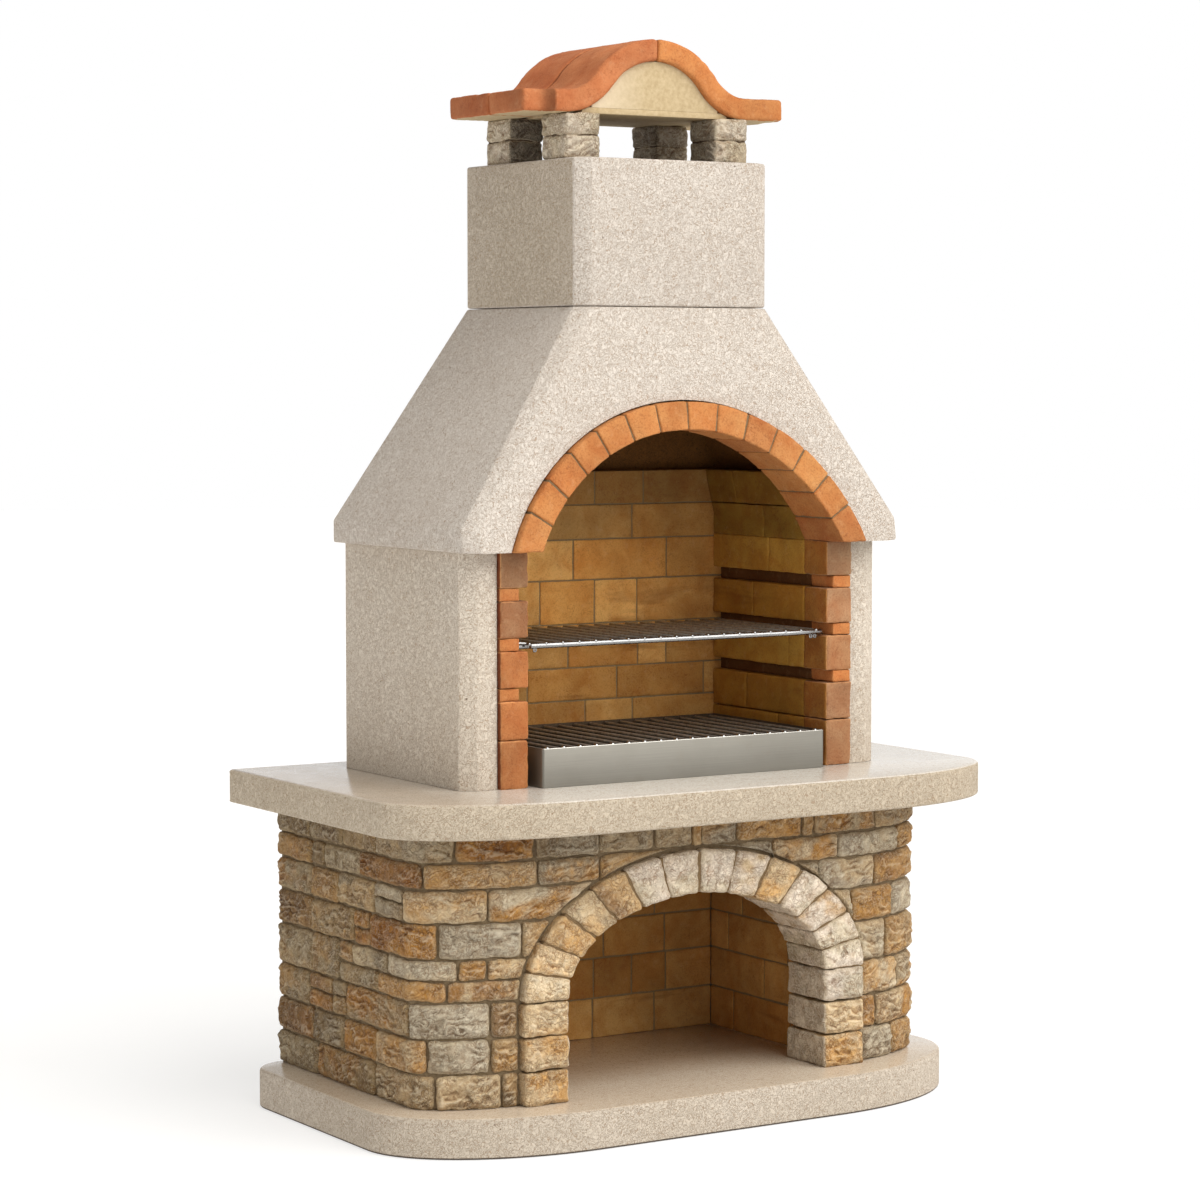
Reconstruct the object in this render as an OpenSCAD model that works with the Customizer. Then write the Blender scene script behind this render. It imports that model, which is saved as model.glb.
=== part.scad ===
// Outdoor masonry barbecue: stone-clad base with an arched log niche, a cast-stone
// worktop, a brick-lined firebox under a tapering hood, and a chimney with an open cap.
// Millimetres, +Z up, origin on the ground under the middle of the worktop.

/* [Base] */
// Thickness of the plinth slab on the ground
plinth_h = 79; // [60:1:100]
// Height of the stone-clad base between the plinth and the worktop
base_h = 541; // [500:1:600]
// Half of the width of the stone-clad base
base_hw = 601; // [590:1:620]
// Thickness of the cladding stones
stone_t = 30; // [24:1:36]
// Height of one bed joint between stone courses
bed_h = 7; // [5:1:10]
// Shortest cladding stone along the wall
stone_min = 120; // [100:5:150]
// Spread of the stone lengths above the shortest
stone_var = 130; // [80:5:160]

/* [Worktop] */
// Width of the worktop
worktop_w = 1409; // [1380:1:1440]
// Depth of the worktop
worktop_d = 816; // [800:2:830]
// Thickness of the worktop
worktop_t = 68; // [50:1:80]

/* [Firebox] */
// Height of the firebox walls above the worktop
firebox_h = 460; // [450:1:480]
// Half of the clear width between the jambs
open_hw = 355; // [350:1:358]
// Height of a grate groove in the side bricks
groove_h = 25; // [22:1:28]
// Distance from one grate groove to the next
groove_pitch = 97; // [92:1:100]

/* [Hood and chimney] */
// Height of the hood
hood_h = 472; // [450:1:500]
// Height of the chimney block
chimney_h = 290; // [240:1:340]
// Height of the pillars that carry the cap
pillar_h = 90; // [70:1:110]

/* [Fire set] */
// Width of the charcoal pan
pan_w = 671; // [650:1:680]
// Depth of the charcoal pan
pan_d = 400; // [380:1:405]
// Height of the charcoal pan
pan_h = 77; // [70:1:90]
// Number of bars in the grill grate
grill_bars = 19; // [15:1:21]
// Number of bars in the ember grate
ember_bars = 18; // [14:1:20]

/* [Hidden] */
$fn = 48;

// Levels, from the ground up
z_plinth = plinth_h;
z_slab = plinth_h + base_h;
z_top = z_slab + worktop_t;
z_hood = z_top + firebox_h;
band_h = 45;
z_band = z_hood + band_h;
z_chim = z_hood + hood_h;
z_cap = z_chim + chimney_h;
z_tile = z_cap + pillar_h;

// Depth positions: the worktop is centred on the origin, the rest is placed from it
slab_hw = worktop_w / 2;
slab_yf = -worktop_d / 2;
slab_yb = worktop_d / 2;
plinth_hw = base_hw + 72;
plinth_yf = -348;
plinth_yb = 402;
base_yf = -253;
base_yb = 398;
base_rx = 310;
base_ry = 115;
niche_hw = 375;
niche_yb = 256;
arch_yf = -262;
arch_yb = -127;
front_wall_yb = -126.5;

body_hw = 494;
body_yf = -182;
body_yb = 300;
jamb_t = 63;
jamb_hw = open_hw + jamb_t;
jamb_yf = -192;
jamb_yb = -112;
fire_yb = 221;
brick_t = 30;

hood_hw = 515;
hood_yf = -235;
hood_yb = 311;
chim_hw = 228;
chim_yf = -170.6;
chim_yb = 263.5;
cham_x = 31;
cham_y = 20;
wall_t = 50;

// Niche arch: outer and inner half-ellipses over the pilasters
na_z = z_plinth + 201;
na_ao = 404;
na_bo = 269 * base_h / 541;
na_ai = 305;
na_bi = 182 * base_h / 541;
na_n = 14;

// Brick arch: a circular segment that springs from the top of the jambs
ba_drop = 158;
ba_z = z_hood - ba_drop;
ba_ri = sqrt(open_hw * open_hw + ba_drop * ba_drop);
ba_ro = sqrt(jamb_hw * jamb_hw + ba_drop * ba_drop);
ba_n = 14;

// Grooves for the grate, counted from the bottom one
groove_z0 = z_top + 170;
groove_in = 20;
function groove_z(i) = groove_z0 + groove_pitch * i;

// Prisms: a plan outline raised, a front outline pushed back, a side outline pushed across
module plan(pts, z0, z1) translate([0, 0, z0]) linear_extrude(z1 - z0) polygon(pts);
module front(pts, y0, y1) translate([0, y1, 0]) rotate([90, 0, 0]) linear_extrude(y1 - y0) polygon(pts);
module side(pts, x0, x1) translate([x0, 0, 0]) rotate([90, 0, 90]) linear_extrude(x1 - x0) polygon(pts);
module block(x0, x1, y0, y1, z0, z1) translate([x0, y0, z0]) cube([x1 - x0, y1 - y0, z1 - z0]);

// Plan outline with elliptical front corners and small round rear corners
function slab_outline(hw, yf, yb, rx, ry, rb, n = 14) = concat(
  rb > 0 ? [for (i = [0:6]) [-hw + rb - rb * sin(i * 15), yb - rb + rb * cos(i * 15)]] : [[-hw, yb]],
  [for (i = [0:n]) [-hw + rx - rx * cos(90 * i / n), yf + ry - ry * sin(90 * i / n)]],
  [for (i = [n:-1:0]) [hw - rx + rx * cos(90 * i / n), yf + ry - ry * sin(90 * i / n)]],
  rb > 0 ? [for (i = [6:-1:0]) [hw - rb + rb * sin(i * 15), yb - rb + rb * cos(i * 15)]] : [[hw, yb]]);

// A point on the stone wall: s runs from the rear left along the side and round the
// corner to the middle of the front, d is the depth behind the stone faces
side_len = base_yb - (base_yf + base_ry);
corner_len = 345;
front_len = base_hw - base_rx;
half_len = side_len + corner_len + front_len;
function wall_pt(s, d) =
  s <= side_len ? [-base_hw + d, base_yb - s] :
  s <= side_len + corner_len ?
    let (t = 90 * pow((s - side_len) / corner_len, 0.55))
    [-front_len - (base_rx - d) * cos(t), base_yf + base_ry - (base_ry - d) * sin(t)] :
  [-front_len + (s - side_len - corner_len), base_yf + d];
function mirror_x(pts) = [for (p = pts) [-p[0], p[1]]];
// The corner is drawn as chords between fixed stations, so that stones, mortar and wall
// meet on the same lines
stations = [for (i = [0:14]) side_len + corner_len * pow(i / 14, 1 / 0.55)];
function along(s0, s1) = concat([s0], [for (b = stations) if (b > s0 + 0.05 && b < s1 - 0.05) b], [s1]);
function strip(s0, s1, d0, d1) =
  let (a = along(s0, s1), n = len(a) - 1)
  concat([for (i = [0:n]) wall_pt(a[i], d0)],
         [for (i = [n:-1:0]) wall_pt(a[i], d1)]);

// Stone lengths vary in a fixed, scattered way
function frac(x) = x - floor(x);
function scatter(a, b) = frac(sin(a * 127.1 + b * 311.7) * 43.758);
function cuts(s, send, row, k = 0) =
  let (e = s + stone_min + stone_var * scatter(row + 1, k + 3))
  e > send - stone_min * 0.75 ? [[s, send]] : concat([[s, e]], cuts(e, send, row, k + 1));

course_hs = [68, 68, 71, 83, 70, 65, 51.5, 64.5];
function sum_to(v, n) = n <= 0 ? 0 : v[n - 1] + sum_to(v, n - 1);
function course_z(i) = z_plinth + sum_to(course_hs, i) * base_h / 541;
function arch_hw(z) = z < na_z ? na_ao : z > na_z + na_bo ? 0 : na_ao * sqrt(1 - pow((z - na_z) / na_bo, 2));
function reach(row) = let (z1 = course_z(row + 1) - 20, w = arch_hw(z1)) w > 0 ? half_len - w + 2 : half_len;

// Outline of the niche arch, grown by g, down to below the plinth top
function ell(a, b, t) = [a * cos(t), na_z + b * sin(t)];
function arch_face(g) = concat(
  [[na_ao + g, z_plinth - 5]],
  [for (i = [0:28]) ell(na_ao + g, na_bo + g, 180 * i / 28)],
  [[-na_ao - g, z_plinth - 5]]);

module stone_course(row) {
  z0 = course_z(row) + bed_h;
  z1 = course_z(row + 1);
  color([0.76, 0.62, 0.44])
  difference() {
    for (m = [0, 1]) for (c = cuts(0, reach(row), row + 8 * m))
      if (m == 0) plan(strip(c[0] + 3, c[1] - 3, 0, stone_t), z0, z1);
      else plan(mirror_x(strip(c[0] + 3, c[1] - 3, 0, stone_t)), z0, z1);
    front(arch_face(5), base_yf - 20, base_yf + stone_t + 20);
  }
}

module bed_mortar() {
  color([0.55, 0.49, 0.42])
  difference() {
    for (row = [0:7]) for (m = [0, 1]) {
      e = reach(row) >= half_len ? half_len : reach(row);
      z0 = course_z(row);
      if (m == 0) plan(strip(0, e, 10, stone_t), z0, z0 + bed_h);
      else plan(mirror_x(strip(0, e, 10, stone_t)), z0, z0 + bed_h);
    }
    front(arch_face(5), base_yf - 20, base_yf + stone_t + 20);
  }
}

module plinth_slab() color([0.83, 0.78, 0.70])
  plan(slab_outline(plinth_hw, plinth_yf, plinth_yb, 390, 234, 79), 0, plinth_h);

module base_wall_left() color([0.66, 0.63, 0.58])
  block(-base_hw + stone_t, -niche_hw - 25, front_wall_yb, niche_yb + 25, z_plinth, z_slab);
module base_wall_right() color([0.66, 0.63, 0.58])
  block(niche_hw + 25, base_hw - stone_t, front_wall_yb, niche_yb + 25, z_plinth, z_slab);
module base_wall_rear() color([0.66, 0.63, 0.58])
  block(-base_hw + stone_t, base_hw - stone_t, niche_yb + 25, base_yb, z_plinth, z_slab);
module base_wall_front() color([0.66, 0.63, 0.58])
  difference() {
    plan(concat([[-base_hw + stone_t, front_wall_yb]],
        strip_line(side_len, half_len, stone_t),
        [[base_hw - stone_t, front_wall_yb]]), z_plinth, z_slab);
    front(arch_face(1.2), base_yf - 20, front_wall_yb + 20);
  }
function strip_line(s0, s1, d) =
  let (a = [for (b = along(s0, s1)) wall_pt(b, d)])
  concat(a, [for (i = [len(a) - 2:-1:0]) [-a[i][0], a[i][1]]]);

// A running-bond panel of bricks in the front plane, ends cut to the panel
module bond_front(x0, x1, z0, zs, y0, y1, len, j)
  for (r = [0:len(zs) - 2])
    for (k = [-1:ceil((x1 - x0) / len)]) {
      a = max(x0, x0 + (k + (r % 2 == 0 ? 0.35 : 0.85)) * len + j / 2);
      b = min(x1, x0 + (k + 1 + (r % 2 == 0 ? 0.35 : 0.85)) * len - j / 2);
      if (b - a > 25) block(a, b, y0, y1, zs[r] + (r == 0 ? 0 : j / 2), zs[r + 1] - (r == len(zs) - 2 ? 0 : j / 2));
    }
module bond_side(y0, y1, zs, x0, x1, len, j)
  for (r = [0:len(zs) - 2])
    for (k = [-1:ceil((y1 - y0) / len)]) {
      a = max(y0, y0 + (k + (r % 2 == 0 ? 0.35 : 0.85)) * len + j / 2);
      b = min(y1, y0 + (k + 1 + (r % 2 == 0 ? 0.35 : 0.85)) * len - j / 2);
      if (b - a > 25) block(x0, x1, a, b, zs[r] + (r == 0 ? 0 : j / 2), zs[r + 1] - (r == len(zs) - 2 ? 0 : j / 2));
    }

niche_rows = [z_plinth, z_plinth + 85, z_plinth + 170, z_plinth + 252, z_plinth + 337, z_plinth + 421, z_slab];
module niche_bricks_rear() color([0.74, 0.60, 0.40])
  bond_front(-niche_hw, niche_hw, z_plinth, niche_rows, niche_yb, niche_yb + 25, 220, 4);
module niche_bricks_left() color([0.74, 0.60, 0.40])
  bond_side(front_wall_yb, niche_yb, niche_rows, -niche_hw - 25, -niche_hw, 220, 4);
module niche_bricks_right() color([0.74, 0.60, 0.40])
  bond_side(front_wall_yb, niche_yb, niche_rows, niche_hw, niche_hw + 25, 220, 4);

// One wedge stone of the niche arch between two angles of the ellipses
module niche_wedge(t0, t1, r0 = 0, r1 = 1)
  front(concat(
    [for (i = [0:4]) let (t = t0 + (t1 - t0) * i / 4) lerp2(ell(na_ai, na_bi, t), ell(na_ao, na_bo, t), r0)],
    [for (i = [4:-1:0]) let (t = t0 + (t1 - t0) * i / 4) lerp2(ell(na_ai, na_bi, t), ell(na_ao, na_bo, t), r1)]),
    r0 == 0 && r1 == 1 ? arch_yf : arch_yf + 8, arch_yb);
function lerp2(a, b, r) = [a[0] + (b[0] - a[0]) * r, a[1] + (b[1] - a[1]) * r];
module niche_arch_stones() color([0.80, 0.74, 0.64])
  for (i = [0:na_n - 1]) niche_wedge(180 * i / na_n + 0.45, 180 * (i + 1) / na_n - 0.45);
module niche_arch_mortar() color([0.62, 0.57, 0.50])
  for (i = [1:na_n - 1]) niche_wedge(180 * i / na_n - 0.43, 180 * i / na_n + 0.43, 0.06, 0.97);

pil_h = (na_z - z_plinth) / 3;
module pilaster(s)
  for (i = [0:2]) if (s < 0) block(-na_ao, -na_ai, arch_yf, arch_yb, z_plinth + pil_h * i + (i == 0 ? 0 : 2), z_plinth + pil_h * (i + 1) - (i == 2 ? 3 : 2));
    else block(na_ai, na_ao, arch_yf, arch_yb, z_plinth + pil_h * i + (i == 0 ? 0 : 2), z_plinth + pil_h * (i + 1) - (i == 2 ? 3 : 2));
module niche_pilaster_left() color([0.80, 0.72, 0.60]) pilaster(-1);
module niche_pilaster_right() color([0.80, 0.72, 0.60]) pilaster(1);

module worktop_slab() color([0.84, 0.79, 0.71])
  plan(slab_outline(slab_hw, slab_yf, slab_yb, 384, 195, 0), z_slab, z_top);

module firebox_wall_left() color([0.84, 0.79, 0.71]) firebox_side(-1);
module firebox_wall_right() color([0.84, 0.79, 0.71]) firebox_side(1);
module firebox_side(s)
  plan([[s * jamb_hw, body_yf], [s * (body_hw - cham_x), body_yf], [s * body_hw, body_yf + cham_y],
        [s * body_hw, body_yb], [s * jamb_hw, body_yb]], z_top, z_hood);
module firebox_wall_rear() color([0.84, 0.79, 0.71])
  block(-jamb_hw, jamb_hw, fire_yb + brick_t, body_yb, z_top, z_hood);

// Rear lining: eight rows of firebricks in running bond, narrower above the band
fire_rows = [z_top, z_top + 43, z_top + 117.5, z_top + 186.5, z_top + 278, z_top + 370, z_top + 455, z_hood + 67.5, z_hood + 137];
module firebrick_rear() color([0.78, 0.62, 0.38]) {
  bond_front(-jamb_hw, jamb_hw, z_top, [for (i = [0:7]) fire_rows[i]], fire_yb, fire_yb + brick_t, 220, 4);
  bond_front(-jamb_hw + 44, jamb_hw - 44, z_hood, [fire_rows[7] + 2, fire_rows[8]], fire_yb, fire_yb + brick_t, 220, 4);
}

// Thick side bricks stand proud between the grooves, thin bricks lie back in them
thick_z = [[z_top, z_top + 93], [z_top + 95, groove_z(0)],
  [groove_z(0) + groove_h, groove_z(1)], [groove_z(1) + groove_h, groove_z(2)],
  [groove_z(2) + groove_h, z_hood]];
module side_thick(s, y0, y1, cut)
  for (r = [0:4]) {
    c = y0 + (y1 - y0) * (r % 2 == 0 ? 0.38 : 0.6);
    for (q = cut ? [[y0, c - 1], [c + 1, y1]] : [[y0, y1]])
      if (s < 0) block(-jamb_hw, -open_hw, q[0], q[1], thick_z[r][0], thick_z[r][1]);
      else block(open_hw, jamb_hw, q[0], q[1], thick_z[r][0], thick_z[r][1]);
  }
module side_thin(s, y0, y1, g = 0)
  for (i = [0:2])
    if (s < 0) block(-jamb_hw, -open_hw - groove_in, y0, y1, groove_z(i) + g, groove_z(i) + groove_h - g);
    else block(open_hw + groove_in, jamb_hw, y0, y1, groove_z(i) + g, groove_z(i) + groove_h - g);
module side_bricks_left() color([0.78, 0.62, 0.38]) side_thick(-1, jamb_yb, fire_yb, true);
module side_bricks_right() color([0.78, 0.62, 0.38]) side_thick(1, jamb_yb, fire_yb, true);
module groove_bricks_left() color([0.66, 0.48, 0.28]) side_thin(-1, jamb_yb, fire_yb);
module groove_bricks_right() color([0.66, 0.48, 0.28]) side_thin(1, jamb_yb, fire_yb);
module jamb_bricks_left() color([0.72, 0.42, 0.28]) {
  side_thick(-1, jamb_yf, jamb_yb, false);
  side_thin(-1, jamb_yf + 3, jamb_yb, 1);
}
module jamb_bricks_right() color([0.72, 0.42, 0.28]) {
  side_thick(1, jamb_yf, jamb_yb, false);
  side_thin(1, jamb_yf + 3, jamb_yb, 1);
}

// Upper side lining, upright to the band and then leaning in to the throat
module throat(s)
  front([[s * open_hw, z_hood], [s * jamb_hw, z_hood], [s * jamb_hw, z_band],
         [s * (jamb_hw - 42), z_hood + 137], [s * (open_hw - 22), z_hood + 137], [s * open_hw, z_band]],
        jamb_yb, fire_yb);
module throat_lining_left() color([0.74, 0.58, 0.36]) throat(-1);
module throat_lining_right() color([0.74, 0.58, 0.36]) throat(1);

// Brick arch: wedges with level feet, the face leaning back with the hood
function hood_face(z) = hood_yf + (chim_yf - hood_yf) * (z - z_hood) / hood_h;
function ba_pt(r, t) = [r * cos(t), ba_z + r * sin(t)];
ba_ti = asin(ba_drop / ba_ri);
ba_to = asin(ba_drop / ba_ro);
ba_tm = (ba_ti + ba_to) / 2;
function ba_joint(i) = ba_tm + (180 - 2 * ba_tm) * i / ba_n;
function ba_wedge(i) =
  let (i0 = i == 0 ? ba_ti : ba_joint(i) + 0.2, i1 = i == ba_n - 1 ? 180 - ba_ti : ba_joint(i + 1) - 0.2,
       o0 = i == 0 ? ba_to : ba_joint(i) + 0.2, o1 = i == ba_n - 1 ? 180 - ba_to : ba_joint(i + 1) - 0.2)
  concat([for (k = [0:4]) ba_pt(ba_ri, i0 + (i1 - i0) * k / 4)],
         [for (k = [4:-1:0]) ba_pt(ba_ro, o0 + (o1 - o0) * k / 4)]);
module face_cut(g) side([[-420, z_hood - 20], [hood_face(z_hood - 20) - g, z_hood - 20],
  [hood_face(z_hood + 420) - g, z_hood + 420], [-420, z_hood + 420]], -620, 620);
module brick_arch() color([0.82, 0.47, 0.26])
  difference() {
    for (i = [0:ba_n - 1]) front(ba_wedge(i), hood_yf - 30, jamb_yb);
    face_cut(15);
  }
module brick_arch_mortar() color([0.70, 0.60, 0.50])
  difference() {
    for (i = [1:ba_n - 1]) front([ba_pt(ba_ri + 2, ba_joint(i) - 0.18), ba_pt(ba_ri + 2, ba_joint(i) + 0.18),
        ba_pt(ba_ro - 1, ba_joint(i) + 0.18), ba_pt(ba_ro - 1, ba_joint(i) - 0.18)], hood_yf - 30, jamb_yb);
    face_cut(11);
  }

// Hood: a hollow casting, square below the band, tapering to the chimney
function ring_at(hw, yf, yb, z) = [[-hw, yb, z], [-hw, yf + cham_y, z], [-hw + cham_x, yf, z],
  [hw - cham_x, yf, z], [hw, yf + cham_y, z], [hw, yb, z]];
function box_at(hw, yf, yb, z) = [[-hw, yb, z], [-hw, yf, z], [hw, yf, z], [hw, yb, z]];
module loft(rings) {
  n = len(rings[0]);
  m = len(rings);
  polyhedron(points = [for (r = rings) for (p = r) p],
    faces = concat([[for (i = [0:n - 1]) i]], [[for (i = [n - 1:-1:0]) (m - 1) * n + i]],
      [for (k = [0:m - 2]) for (i = [0:n - 1]) [k * n + i, (k + 1) * n + i, (k + 1) * n + (i + 1) % n, k * n + (i + 1) % n]]));
}
module hood() color([0.84, 0.79, 0.71]) {
  difference() {
    loft([ring_at(hood_hw, hood_yf, hood_yb, z_hood),
          ring_at(hood_hw, hood_face(z_band), hood_yb, z_band),
          ring_at(chim_hw, chim_yf, chim_yb, z_chim)]);
    loft([box_at(445, -150, 262, z_hood - 5),
          box_at(445, -146, 262, z_band),
          box_at(chim_hw - wall_t, chim_yf + wall_t, chim_yb - wall_t, z_chim + 5)]);
    translate([0, -100, ba_z]) rotate([90, 0, 0]) cylinder(r = ba_ro + 0.5, h = 200, $fn = 128);
  }
  // register that locates the chimney block
  difference() {
    block(-chim_hw + 30, chim_hw - 30, chim_yf + 30, chim_yb - 30, z_chim - 1, z_chim + 14);
    block(-chim_hw + wall_t, chim_hw - wall_t, chim_yf + wall_t, chim_yb - wall_t, z_chim - 5, z_chim + 20);
  }
}

module chimney_block() color([0.84, 0.79, 0.71])
  difference() {
    plan([for (p = ring_at(chim_hw, chim_yf, chim_yb, 0)) [p[0], p[1]]], z_chim, z_cap);
    block(-chim_hw + wall_t, chim_hw - wall_t, chim_yf + wall_t, chim_yb - wall_t, z_chim - 5, z_cap + 5);
    block(-chim_hw + 28, chim_hw - 28, chim_yf + 28, chim_yb - 28, z_chim - 5, z_chim + 16);
  }

// Cap: four pillars of two stones, a base slab, gable panels and four roof tiles
cap_hw = 302;
cap_yf = -106;
cap_yb = 205;
cap_ym = (cap_yf + cap_yb) / 2;
tile_t = 44;
hump_r1 = 175;
hump_r2 = 93;
hump_th = 53.35;
hump_hw = 215;
hump_rise = 108;
module pillar(x0, x1, y0, y1) {
  block(x0, x1, y0, y1, z_cap, z_cap + pillar_h * 0.52 - 1.5);
  block(x0 + 1, x1 - 1, y0 + 1, y1 - 1, z_cap + pillar_h * 0.52 + 1.5, z_tile);
}
module cap_pillar_front_left() color([0.72, 0.69, 0.62]) pillar(-216, -136, cap_yf, cap_yf + 94);
module cap_pillar_front_right() color([0.72, 0.69, 0.62]) pillar(136, 216, cap_yf, cap_yf + 94);
module cap_pillar_rear_left() color([0.72, 0.69, 0.62]) pillar(-216, -136, cap_yb - 94, cap_yb);
module cap_pillar_rear_right() color([0.72, 0.69, 0.62]) pillar(136, 216, cap_yb - 94, cap_yb);

// Points of the double-curved tile profile at depth d under the top, from eave to ridge
hump_zc = z_tile + tile_t + hump_rise - hump_r1;
function tile_line(d) = concat(
  [[cap_hw, z_tile + tile_t - d]],
  [for (i = [0:8]) let (a = hump_th * i / 8) [hump_hw - (hump_r2 + d) * sin(a), z_tile + tile_t + hump_r2 - (hump_r2 + d) * cos(a)]],
  [for (i = [1:10]) let (a = hump_th * (10 - i) / 10) [(hump_r1 - d) * sin(a), hump_zc + (hump_r1 - d) * cos(a)]]);
function rev(a) = [for (i = [len(a) - 1:-1:0]) a[i]];
module cap_tile(s, y0, y1)
  front([for (p = concat(tile_line(0), rev(tile_line(tile_t)))) [s * p[0], p[1]]], y0, y1);
// the front left eave has a scooped corner, 58 mm wide and 11 mm deep
module cap_tile_front_left() color([0.80, 0.44, 0.26])
  difference() {
    cap_tile(-1, cap_yf, cap_ym - 0.5);
    translate([-263, cap_yf - 32.7, z_tile - 5]) cylinder(r = 43.7, h = tile_t + 10);
  }
module cap_tile_front_right() color([0.80, 0.44, 0.26]) cap_tile(1, cap_yf, cap_ym - 0.5);
module cap_tile_rear_left() color([0.80, 0.44, 0.26]) cap_tile(-1, cap_ym + 0.5, cap_yb);
module cap_tile_rear_right() color([0.80, 0.44, 0.26]) cap_tile(1, cap_ym + 0.5, cap_yb);

base_slab_hw = 172;
module cap_base_slab() color([0.88, 0.82, 0.70])
  front([[-base_slab_hw, z_tile], [base_slab_hw, z_tile], [base_slab_hw, z_tile + 5.5], [base_slab_hw - 14.5, z_tile + 12],
         [14.5 - base_slab_hw, z_tile + 12], [-base_slab_hw, z_tile + 5.5]], cap_yf + 12, cap_yb - 12);
function gable_pts() = let (u = [for (p = tile_line(tile_t + 0.3)) if (p[1] > z_tile + 12.5) p])
  concat([[u[0][0], z_tile + 12]], u, rev([for (p = u) [-p[0], p[1]]]), [[-u[0][0], z_tile + 12]]);
module cap_gable_front() color([0.88, 0.82, 0.70]) front(gable_pts(), cap_yf + 12, cap_yf + 40);
module cap_gable_rear() color([0.88, 0.82, 0.70]) front(gable_pts(), cap_yb - 40, cap_yb - 12);

// Charcoal pan: open sheet tray that stands on the worktop between the jambs
pan_yf = -212;
sheet = 3;
module charcoal_pan() color([0.62, 0.63, 0.64])
  difference() {
    block(-pan_w / 2, pan_w / 2, pan_yf, pan_yf + pan_d, z_top + 0.5, z_top + pan_h);
    block(-pan_w / 2 + sheet, pan_w / 2 - sheet, pan_yf + sheet, pan_yf + pan_d - sheet, z_top + 0.5 + sheet, z_top + pan_h + 5);
  }

// Ember grate: bars on three cross rods, with legs that stand in the pan
module rod_y(x, y0, y1, z, d) translate([x, y1, z]) rotate([90, 0, 0]) cylinder(d = d, h = y1 - y0, $fn = 24);
module rod_x(x0, x1, y, z, d) translate([x0, y, z]) rotate([0, 90, 0]) cylinder(d = d, h = x1 - x0, $fn = 24);
ember_z = z_top + pan_h - 6;
module ember_grate() color([0.33, 0.33, 0.33]) {
  ehw = pan_w / 2 - 10;
  for (i = [0:ember_bars - 1])
    rod_y(-ehw + 6 + (2 * ehw - 12) * i / (ember_bars - 1), pan_yf + 8, pan_yf + pan_d - 8, ember_z, 8);
  for (y = [pan_yf + 30, pan_yf + pan_d / 2, pan_yf + pan_d - 30])
    rod_x(-ehw, ehw, y, ember_z - 7, 8);
}
// Four legs welded under the outer cross rods
module ember_legs() color([0.33, 0.33, 0.33])
  for (x = [-pan_w / 2 + 22, pan_w / 2 - 22]) for (y = [pan_yf + 30, pan_yf + pan_d - 30])
    translate([x, y, z_top + 0.5 + sheet]) cylinder(d = 8, h = ember_z - 11 - z_top - 0.5 - sheet, $fn = 24);

// Grill grate: bars on two cross rods whose ends ride in the side grooves
grill_z = groove_z(1) + 4.3;
module grill_grate() color([0.55, 0.55, 0.56]) {
  ghw = open_hw - 13;
  for (i = [0:grill_bars - 1])
    rod_y(-ghw + 2 * ghw * i / (grill_bars - 1), -178, 192, grill_z + 6, 6);
  for (y = [-150, 170]) rod_x(-open_hw - 12, open_hw + 12, y, grill_z, 8);
  rod_x(-ghw - 4, ghw + 4, -170, grill_z + 2, 12);
}

plinth_slab();
base_wall_left();
base_wall_right();
base_wall_rear();
base_wall_front();
stone_course(0);  // stone_course_1
stone_course(1);  // stone_course_2
stone_course(2);  // stone_course_3
stone_course(3);  // stone_course_4
stone_course(4);  // stone_course_5
stone_course(5);  // stone_course_6
stone_course(6);  // stone_course_7
stone_course(7);  // stone_course_8
bed_mortar();
niche_bricks_rear();
niche_bricks_left();
niche_bricks_right();
niche_arch_stones();
niche_arch_mortar();
niche_pilaster_left();
niche_pilaster_right();
worktop_slab();
firebox_wall_left();
firebox_wall_right();
firebox_wall_rear();
firebrick_rear();
side_bricks_left();
side_bricks_right();
groove_bricks_left();
groove_bricks_right();
throat_lining_left();
throat_lining_right();
jamb_bricks_left();
jamb_bricks_right();
brick_arch();
brick_arch_mortar();
hood();
chimney_block();
cap_pillar_front_left();
cap_pillar_front_right();
cap_pillar_rear_left();
cap_pillar_rear_right();
cap_base_slab();
cap_gable_front();
cap_gable_rear();
cap_tile_front_left();
cap_tile_front_right();
cap_tile_rear_left();
cap_tile_rear_right();
charcoal_pan();
ember_grate();
ember_legs();
grill_grate();
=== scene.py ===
import math
import bmesh
import bpy
import numpy as np
from mathutils import Matrix, Vector


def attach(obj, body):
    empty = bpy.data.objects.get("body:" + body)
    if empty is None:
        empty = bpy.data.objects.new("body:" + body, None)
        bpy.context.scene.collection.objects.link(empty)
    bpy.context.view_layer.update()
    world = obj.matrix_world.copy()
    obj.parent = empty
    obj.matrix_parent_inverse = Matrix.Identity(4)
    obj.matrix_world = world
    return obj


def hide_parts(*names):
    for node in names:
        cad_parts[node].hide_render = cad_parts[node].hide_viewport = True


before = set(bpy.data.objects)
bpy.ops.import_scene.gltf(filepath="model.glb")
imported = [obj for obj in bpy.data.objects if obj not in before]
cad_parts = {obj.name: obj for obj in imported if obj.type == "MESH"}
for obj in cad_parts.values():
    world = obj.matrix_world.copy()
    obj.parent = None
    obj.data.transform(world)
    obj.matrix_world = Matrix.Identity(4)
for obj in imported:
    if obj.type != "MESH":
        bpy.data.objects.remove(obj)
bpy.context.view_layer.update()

MM = 0.001
pi = math.pi

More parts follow.
